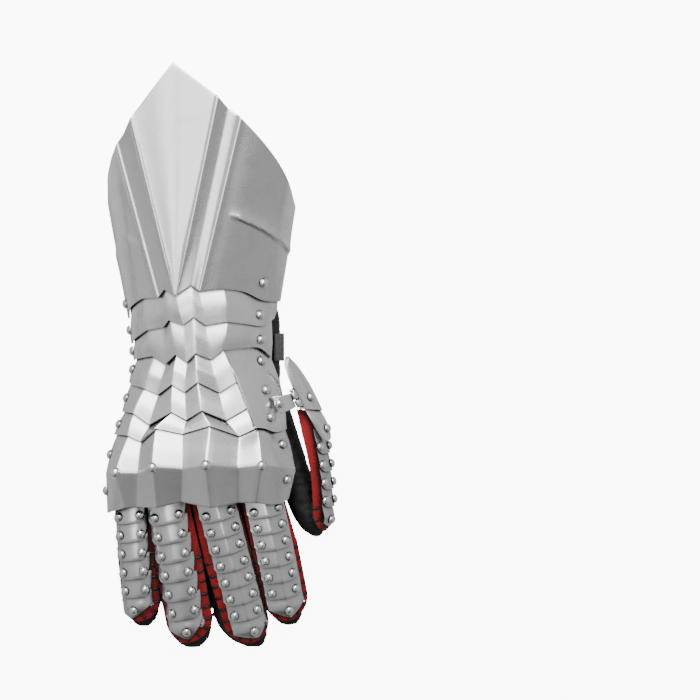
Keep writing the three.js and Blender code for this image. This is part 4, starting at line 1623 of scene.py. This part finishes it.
    def build(self) -> None:
        """Makes the lames, the leather and the stitches and dresses them."""
        for k in range(self.lames):
            number = k + self.first_number
            dress(self.lame(k), SHADED_LAME_FINISH, "hand", [f"{self.name}_lame_{number}"])
        leather = self.backing()
        Bench.smooth(leather, 50)
        dress(leather, RED, "hand", [f"{self.name}_backing"])
        dress(self.stitches(), THREAD, "hand")


FINGERS = (
    Finger("little", 6, (-60.6, -97, 35), (-54.2, -171, 21), (21, 20), 14, 0.1, 5, (1, 2.6),
           TipShape(-0.45, 3, 9), steps=(0.6, 0.9), show=((0, 0), (0.6, 0.4)), glove=((0, 0), (-0.8, 4))),
    Finger("ring", 7, (-36.4, -97, 41.5), (-21.2, -185, 22), (24.6, 23), 8, 0.2, 5, (1.6, 3),
           TipShape(0.0, 8, 11), steps=(0.4, 0.9), show=((0, 0), (1.5, 1.6)), glove=((-0.4, 3), (3, 5.5))),
    Finger("middle", 8, (-2.6, -96.5, 43.5), (21.6, -185, 22), (25.6, 23), 0, 0.8, 5.5, (4, 1),
           TipShape(0.35, 5, 10), show=((1.4, 0.2), (0.8, 0)), glove=((5.5, 11), (2.2, 0))),
    Finger("index", 7, (29.4, -94.5, 41.5), (45.6, -171, 22.5), (25.4, 24), -8, 0.8, 5.5, (1, 3.4),
           TipShape(0.1, 7, 9), show=((0.8, 0), (0, 0)), glove=((2.4, 1.6), (0, 0))),
)
THUMB_SCALES = Finger("thumb", 5, (68.2, -52, 29), (73, -112, 20), (21, 20), -52, 0.2, 5, (-1.6, 1),
                      TipShape(0.2, 6, 6), first_number=3, backing_start=-16, stitch_from=0.7, left_edge=-0.5,
                      steps=(0.6, 0.2))


# ---- Thumb plates and hinge ----
@dataclass
class ThumbPlates:
    """The two plates at the thumb's root, the hinge leaf on the hand and the pin between them."""

    bulge: float = 2.2
    # The direction in which the plates bulge, and how many parts their width is made in.
    outwards: Triple = (0.55, 0, 0.83)
    spans: int = 12
    softness: float = 3
    pin: float = 0.8
    bore: float = 1.1
    outer: float = 2.1
    head: float = 1.7
    clear: float = 0.4
    hinge: tuple[Triple, Triple] = ((46.6, -23.6, 39.9), (52.4, -34, 38.4))
    leaf_knuckle: Pair = (0.02, 0.42)
    thumb_knuckle: Pair = (0.5, 0.9)
    first_rows: tuple[tuple[Triple, Triple], ...] = (
        ((42.3, -0.6, 39), (44.4, -0.9, 38)), ((41, -5.7, 39.6), (49.6, -5.7, 34.5)),
        ((43, -12, 39.8), (54, -12, 32)), ((46, -19, 39.4), (58.4, -19, 29.6)),
        ((49.4, -27.5, 38.4), (62.7, -27.5, 27.6)), ((53.4, -34.6, 36.8), (66.2, -35.2, 26)),
    )
    second_rows: tuple[tuple[Triple, Triple], ...] = (
        ((51.8, -29.5, 35), (61.8, -29.5, 24.4)), ((54.8, -34.8, 34), (65, -35.4, 23.6)),
        ((58.8, -42, 34), (69.4, -43, 24.6)), ((62.6, -49, 32.2), (71.8, -51, 23.6)),
        ((67, -55.6, 30.4), (71.6, -54, 26)),
    )
    leaf_rows: tuple[tuple[Triple, Triple], ...] = (
        ((33, -26.8, 46), (45.7, -24.4, 41)), ((36, -32.4, 45.6), (47.3, -28.8, 40.6)),
        ((38.6, -37.6, 44.8), (49.2, -33, 40.2)),
    )

    def surface(self, rows: Sequence[tuple[Triple, Triple]], down: Sequence[float]) -> Grid:
        """The outer face between a plate's two edges, bowed across.

        Args:
            rows: Its left and right edge, row by row.
            down: The softness of each row.

        Returns:
            Rows of points.
        """
        coarse = []
        for left, right in rows:
            line = []
            for k in range(self.spans + 1):
                t = k / self.spans
                lift = 4 * t * (1 - t) * self.bulge
                bulge = Vector([lift * part for part in self.outwards])
                line.append(Vector(left).lerp(Vector(right), t) + bulge)
            coarse.append(line)
        columns = [rounded([row[j] for row in coarse], down, 4) for j in range(self.spans + 1)]
        return [[column[i] for column in columns] for i in range(len(columns[0]))]

    def bar(self, begin: float, end: float, radius: float) -> bpy.types.Object:
        """A bar along the hinge.

        Args:
            begin: Where it begins, as a share of the hinge's length.
            end: Where it ends.
            radius: Its radius in millimetres.

        Returns:
            The bar.
        """
        start, stop = Vector(self.hinge[0]), Vector(self.hinge[1])
        return Bench.bar("bar", start.lerp(stop, begin), start.lerp(stop, end), radius)

    def hinged(self, plate: bpy.types.Object, own: Pair, other: Pair, finish: Finish) -> None:
        """Rolls a plate's knuckle round the pin and cuts it clear of the other knuckle.

        Args:
            plate: The plate.
            own: Its knuckle, as shares of the hinge's length.
            other: The other plate's knuckle.
            finish: The plate's finish.
        """
        room = 0.04
        free = self.outer + self.clear
        Bench.cut(plate, self.bar(other[0] - room, other[1] + room, free))
        if own == self.thumb_knuckle:
            Bench.cut(plate, self.bar(-0.2, self.leaf_knuckle[0] - room, free))
            Bench.cut(plate, self.bar(self.thumb_knuckle[1] + room, 1.12, free))
        Bench.cut(plate, self.bar(own[0] - room, own[1] + room, self.bore))
        knuckle = self.bar(own[0], own[1], self.outer)
        Bench.bevel(knuckle, 0.3, degrees=50)
        Bench.cut(knuckle, self.bar(own[0] - room, own[1] + room, self.bore))
        knuckle.data.materials.append(finish.material())
        Bench.smooth(knuckle)
        Bench.join(plate.name, plate, [knuckle])

    def shaped(self, name: str, rows: Sequence[tuple[Triple, Triple]], wall: Pair, aim: Aim,
               kind: RivetKind) -> bpy.types.Object:
        """Makes one plate with its rivet.

        Args:
            name: The finished piece's name.
            rows: Its left and right edge, row by row.
            wall: Its thickness and how far its edges are broken.
            aim: The rivet's line.
            kind: The rivet's kind.

        Returns:
            The plate.
        """
        grid = self.surface(rows, [0, *[self.softness] * (len(rows) - 2), 0])
        return riveted(name, Bench.plate(name, grid, *wall), grid, [aim], kind, STEEL)

    def build(self) -> None:
        """Makes the plates, the leaf and the pin and dresses them."""
        thick = (STEEL_WALL, 0.28)
        first = self.shaped("thumb_scale_1", self.first_rows, thick, Aim.above(58.6, -26.7), Rivets.PLATE)
        self.hinged(first, self.thumb_knuckle, self.leaf_knuckle, STEEL)
        dress(first, STEEL, "hand", ["thumb_lame_1"])
        second = self.shaped("thumb_scale_2", self.second_rows, (LAME_WALL, 0.25), Aim.above(69, -47),
                             Rivets.LAME)
        dress(second, STEEL, "hand", ["thumb_lame_2"])
        leaf = self.shaped("hinge_leaf_plate", self.leaf_rows, thick, Aim.above(38, -31), Rivets.PLATE)
        self.hinged(leaf, self.leaf_knuckle, self.thumb_knuckle, STEEL)
        dress(leaf, STEEL, "hand", ["hinge_leaf"])
        pin = self.bar(-0.1, 1.02, self.pin)
        heads = [self.bar(-0.15, -0.05, self.head), self.bar(0.97, 1.07, self.head)]
        for head in heads:
            Bench.bevel(head, 0.35, 3, 50)
        whole = Bench.join("hinge_pin_bar", pin, heads)
        Bench.smooth(whole)
        dress(whole, RIVET_FINISH, "hand", ["hinge_pin"])


# ---- Glove and strap ----
@dataclass(frozen=True)
class Section:
    """An oval cross section of the palm: centre and half width across, floor and top heights."""

    y: float
    x: float
    half: float
    floor: float
    top: float

    def grown(self, margin: float) -> "Section":
        """The section grown by a margin on every side."""
        return Section(self.y, self.x, self.half + margin, self.floor - margin, self.top + margin)

    def point(self, angle: float) -> Vector:
        """A point of the oval, which leans to the thumb and is pressed flat on the floor.

        Args:
            angle: The point's angle, from the thumb side upwards.

        Returns:
            The point in millimetres.
        """
        across = self.half * math.cos(angle)
        rise = math.sin(angle)
        z = (self.top + self.floor) / 2 + (self.top - self.floor) / 2 * rise - 0.08 * across
        z -= 2 if rise < 0 else 0
        return Vector((self.x + across, self.y, max(z, self.floor)))


@dataclass
class Glove:
    """The black leather glove that everything is fixed to, open at the wrist."""

    palm: tuple[Section, ...] = (
        Section(66, -14, 38, 0, 42), Section(44, -11, 42, 0, 42), Section(28, -6, 44, 1, 38),
        Section(19, -5.2, 44, 2.6, 35), Section(-8, -5.2, 44, 2.6, 35), Section(-22, -7, 46, 0, 38),
        Section(-50, -12.5, 50.5, 0, 42), Section(-75, -14, 53, 0, 40), Section(-92, -14, 48, 5, 23),
    )
    thumb: tuple[Triple, Triple] = ((30, -28, 15), (62, -118, 7.3))
    thumb_half: Pair = (13, 10)
    thumb_high: Pair = (14, 7.3)
    root: float = -12
    over: float = 8.2
    wall: float = 1.6
    voxel: float = 1.5
    sides: int = 40
    steps: int = 26
    # The gap between a finger's red leather and the glove.
    below: float = 1.2
    # The smallest shares of its width and height to which a round end shrinks.
    least_wide: float = 0.16
    least_tall: float = 0.3
    # How far in the wrist is trimmed, and how high above the floor the leather starts to crease.
    trim: float = 1.4
    crease_above: float = 0.4

    def loft(self, name: str, rings: Sequence[Sequence[Vector]]) -> bpy.types.Object:
        """Rolls a sheet through a row of rings and closes its ends.

        Args:
            name: The solid's name.
            rings: The rings.

        Returns:
            The solid.
        """
        obj = Bench.sheet(name, [[*ring, ring[0].copy()] for ring in rings])
        Bench.cap(obj, len(rings[0]) + 4)
        return obj

    def stations(self) -> list[float]:
        """The places of a finger's rings along it, closer together towards its end."""
        return [0.995 * math.sin(math.pi / 2 * k / self.steps) ** 0.9 for k in range(self.steps + 1)]

    @staticmethod
    def thinning(t: float) -> float:
        """How a finger of the glove thins towards its round end."""
        return math.sqrt(1 - ((t - 0.8) / 0.2) ** 2) if t > 0.8 else 1.0

    def ring(self, centre: Vector, half: float, tall: float, wider: Pair = (0, 0)) -> list[Vector]:
        """An upright oval, wider to the left and right where it lies on the floor.

        Args:
            centre: Its centre.
            half: Half its width.
            tall: Half its height.
            wider: What is added low down on the left and on the right.

        Returns:
            Its points.
        """
        points = []
        for k in range(self.sides):
            angle = 2 * math.pi * k / self.sides
            across, rise = math.cos(angle), math.sin(angle)
            low = ease(1.1 * (0.75 - rise))
            extra = (wider[0] if across < 0 else wider[1]) * low * ease(1.4 * abs(across))
            wide = math.copysign(half * abs(across) + extra, across)
            points.append(centre + Vector((wide, 0, tall * rise)))
        return points

    def palm_solid(self) -> bpy.types.Object:
        """The palm and the wrist.

        Returns:
            The solid.
        """
        count = 60
        turn = 2 * math.pi / count
        rings = [[section.point(k * turn) for k in range(count)] for section in self.palm]
        columns = [rounded([ring[j] for ring in rings], [0] + [7] * (len(rings) - 2) + [0], 2)
                   for j in range(count)]
        return self.loft("palm", [[column[i] for column in columns] for i in range(len(columns[0]))])

    def finger_solid(self, finger: Finger) -> bpy.types.Object:
        """A finger of the glove, just under its red leather and down to the floor at the tip.

        Args:
            finger: The finger.

        Returns:
            The solid.
        """
        depth = (2 * finger.dive + finger.under + finger.leather + self.below + 1.5 * finger.ridge
                 + 0.18 * abs(finger.roll))
        span = finger.length + self.over - self.root
        rings = []
        for t in self.stations():
            d = self.root + span * t
            top = finger.place(0, d, -depth)
            high = (top.z - max(0.0, 9 * (1 - 1.6 * t))) / 2
            share = self.thinning(t)
            left, right = (root + (tip - root) * t for root, tip in finger.glove)
            thin = max(share, self.least_wide)
            centre = Vector((top.x, top.y, top.z - high))
            rings.append(self.ring(centre, finger.half(d) * thin, high * max(share, self.least_tall),
                                   (left * thin, right * thin)))
        return self.loft(f"glove_{finger.name}", rings)

    def thumb_solid(self) -> bpy.types.Object:
        """The glove's thumb.

        Returns:
            The solid.
        """
        start, end = Vector(self.thumb[0]), Vector(self.thumb[1])
        rings = []
        for t in self.stations():
            share = self.thinning(t)
            half = self.thumb_half[0] + (self.thumb_half[1] - self.thumb_half[0]) * t
            tall = self.thumb_high[0] + (self.thumb_high[1] - self.thumb_high[0]) * t
            rings.append(self.ring(start.lerp(end, t), half * max(share, self.least_wide),
                                   tall * max(share, self.least_tall)))
        return self.loft("glove_thumb", rings)

    def wrinkle(self, obj: bpy.types.Object) -> None:
        """Gives the leather shallow dents and creases, none of them outwards.

        Args:
            obj: The glove's skin.
        """
        normals = [v.normal.copy() for v in obj.data.vertices]
        for vertex, normal in zip(obj.data.vertices, normals):
            place = vertex.co / MM
            slow = noise.noise(Vector((place.x * 0.07, place.y * 0.045, place.z * 0.07)))
            fold = abs(noise.noise(Vector((place.x * 0.05, place.y * 0.22, place.z * 0.12 + 5))))
            depth = 0.35 * max(0.0, slow) + 0.5 * max(0.0, 0.16 - fold) / 0.16
            if place.z > self.crease_above:
                vertex.co -= normal * depth * MM

    def build(self) -> None:
        """Joins palm, fingers and thumb into one skin, opens the wrist and gives it a wall."""
        parts = [self.finger_solid(f) for f in FINGERS] + [self.thumb_solid()]
        whole = Bench.join("glove_skin", self.palm_solid(), parts)
        Bench.modify(whole, "REMESH", mode="VOXEL", voxel_size=self.voxel * MM)
        Bench.modify(whole, "SMOOTH", factor=0.5, iterations=3)
        self.wrinkle(whole)
        Bench.edit(whole)
        mouth = (self.palm[0].y - self.trim) * MM
        bpy.ops.mesh.bisect(plane_co=(0, mouth, 0), plane_no=(0, 1, 0), clear_outer=True, use_fill=False)
        Bench.done()
        Bench.modify(whole, "SOLIDIFY", thickness=self.wall * MM, offset=-1)
        Bench.smooth(whole, 60)
        fingers = [f"glove_{finger.name}_finger" for finger in FINGERS]
        dress(whole, BLACK, "hand", ["glove_palm", "glove_thumb", *fingers])


@dataclass
class Strap:
    """The webbing strap round the wrist."""

    wrist: Section = Section(-8, -5.2, 44, 2.6, 35)
    width: float = 18
    thickness: float = 1.8
    middle: float = 5.5
    # The height of the wrist's middle.
    core: float = 20
    gap: float = 0.7
    begin: float = 28
    end: float = -210
    steps: int = 90

    def build(self) -> None:
        """Lays the webbing round the wrist and gives it its thickness."""
        outer = self.wrist.grown(self.gap + self.thickness)
        grid = []
        for k in range(self.steps + 1):
            angle = math.radians(self.begin + (self.end - self.begin) * k / self.steps)
            row = []
            for side in (-0.5, -0.3, 0, 0.3, 0.5):
                moved = Section(self.middle + side * self.width, outer.x, outer.half, outer.floor, outer.top)
                row.append(moved.point(angle))
            grid.append(row)
        obj = Bench.sheet("strap_sheet", grid)
        outward = grid[0][2] - Vector((self.wrist.x, self.middle, self.core))
        if Vector(obj.data.polygons[0].normal).dot(outward) < 0:
            Bench.flip(obj)
        Bench.modify(obj, "SOLIDIFY", thickness=self.thickness * MM, offset=-1)
        Bench.bevel(obj, 0.5, 3)
        Bench.smooth(obj)
        obj.name = "wrist_strap_webbing"
        dress(obj, WEB, "hand", ["wrist_strap"])


# ---- Studio ----
class Side(Enum):
    """The axis of the room along which its light changes."""

    ACROSS = 0
    ALONG = 1


@dataclass
class Studio:
    """A pale floor, a soft surrounding light that is strongest from the upper left, and the camera."""

    distance: float = 10.0
    sensor: float = 36
    frame_width: float = 0.4522
    aim: Triple = (0.0839, 0.0036, 0.05)
    floor: float = 0.4
    floor_size: float = 6
    floor_gap: float = 0.0005
    # Each overhead softbox: its radiance, height, and low and high corners in plan.
    boxes: tuple[tuple[float, float, Pair, Pair], ...] = (
        (6.8, 0.6, (-0.30, 0.10), (0.22, 0.80)), (1.75, 0.62, (-0.28, -0.13), (0.08, 0.10)),
        (3.5, 0.6, (-0.16, -0.15), (-0.05, -0.07)))
    backdrop: float = 13
    glow: float = 0.75

    def light(self, kit: Paint, direction: Wire, side: Side, stops: Sequence[tuple[float, float]]) -> Wire:
        """How bright the room is along one axis of a direction.

        Args:
            kit: The world's tree.
            direction: The direction looked in.
            side: The axis.
            stops: Places from -1 to 1 with a brightness for each.

        Returns:
            The brightness.
        """
        share = kit.axis(direction, side.value) * 0.5 + 0.5
        top = max(level for _, level in stops)
        return kit.ramp(share, [((at + 1) / 2, grey(level / top)) for at, level in stops]) * top

    def room(self) -> None:
        """Gives the room its soft surround, a little brighter on the little-finger side."""
        world = bpy.data.worlds.new("studio")
        world.use_nodes = True
        bpy.context.scene.world = world
        kit = Paint(world.node_tree)
        direction = kit.place("Generated")
        surround = self.light(kit, direction, Side.ACROSS, (
            (-1, 0.75), (-0.72, 0.72), (-0.45, 0.8), (-0.27, 0.56), (0, 0.44), (0.25, 0.4), (0.5, 0.58),
            (0.9, 0.62), (1, 0.64)))
        surround = surround * self.light(kit, direction, Side.ALONG, (
            (-1, 0.12), (-0.86, 0.3), (-0.7, 0.68), (-0.44, 0.56), (-0.15, 0.95), (0.7, 1), (0.95, 0.4),
            (1, 0.3)))
        soft = kit.node("ShaderNodeBackground", {}, {"Color": (1, 1, 1, 1), "Strength": surround})
        plain = kit.node("ShaderNodeBackground", {}, {"Color": (1, 1, 1, 1), "Strength": self.backdrop})
        seen = kit.node("ShaderNodeLightPath", {}, {}, "Is Camera Ray")
        both = kit.node("ShaderNodeMixShader", {}, {0: seen, 1: soft, 2: plain})
        kit.node("ShaderNodeOutputWorld", {}, {"Surface": both})

    def overhead(self) -> None:
        """Hangs the softboxes."""
        for radiance, height, low, high in self.boxes:
            wide, long = high[0] - low[0], high[1] - low[1]
            data = bpy.data.lights.new("softbox", "AREA")
            data.shape = "RECTANGLE"
            data.size, data.size_y = wide, long
            data.energy = radiance * math.pi * wide * long
            light = bpy.data.objects.new("softbox", data)
            light.location = ((low[0] + high[0]) / 2, (low[1] + high[1]) / 2, height)
            bpy.context.scene.collection.objects.link(light)

    def ground(self) -> None:
        """Lays the floor."""
        Bench.clear()
        bpy.ops.mesh.primitive_plane_add(size=self.floor_size, location=(0, 0, -self.floor_gap))
        floor = bpy.context.object
        floor.name = "studio_floor"
        material = bpy.data.materials.new("pale_floor")
        material.use_nodes = True
        kit = Paint(material.node_tree)
        shader = kit.node("ShaderNodeBsdfPrincipled", {}, {
            "Base Color": (*grey(self.floor), 1), "Roughness": 0.9})
        glow = kit.node("ShaderNodeEmission", {}, {
            "Color": (1, 1, 1, 1), "Strength": self.backdrop * self.glow})
        lit = kit.node("ShaderNodeAddShader", {}, {0: shader, 1: glow})
        seen = kit.node("ShaderNodeLightPath", {}, {}, "Is Camera Ray")
        both = kit.node("ShaderNodeMixShader", {}, {0: seen, 1: shader, 2: lit})
        kit.node("ShaderNodeOutputMaterial", {}, {"Surface": both})
        floor.data.materials.append(material)

    def camera(self) -> None:
        """Hangs the camera so that it looks straight down, to the right of the gauntlet's middle."""
        data = bpy.data.cameras.new("overhead")
        data.sensor_width = self.sensor
        data.lens = data.sensor_width * (self.distance - self.aim[2]) / self.frame_width
        data.clip_start, data.clip_end = 0.1, 100
        camera = bpy.data.objects.new("overhead", data)
        camera.location = (self.aim[0], self.aim[1], self.distance)
        bpy.context.scene.collection.objects.link(camera)
        bpy.context.scene.camera = camera

    def build(self) -> None:
        """Sets up the studio."""
        self.room()
        self.overhead()
        self.ground()
        self.camera()


def main() -> None:
    """Builds the gauntlet's pieces in order."""
    logging.basicConfig(level=logging.INFO, format="%(message)s")
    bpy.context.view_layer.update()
    Studio().build()
    cuff = Cuff()
    dress(cuff.build(), STEEL, "cuff", ["cuff_plate"])
    HandPlates(cuff).build()
    for finger in (*FINGERS, THUMB_SCALES):
        finger.build()
    ThumbPlates().build()
    Glove().build()
    Strap().build()
    RIVETS.clean()
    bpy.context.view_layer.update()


if __name__ == "__main__":
    main()
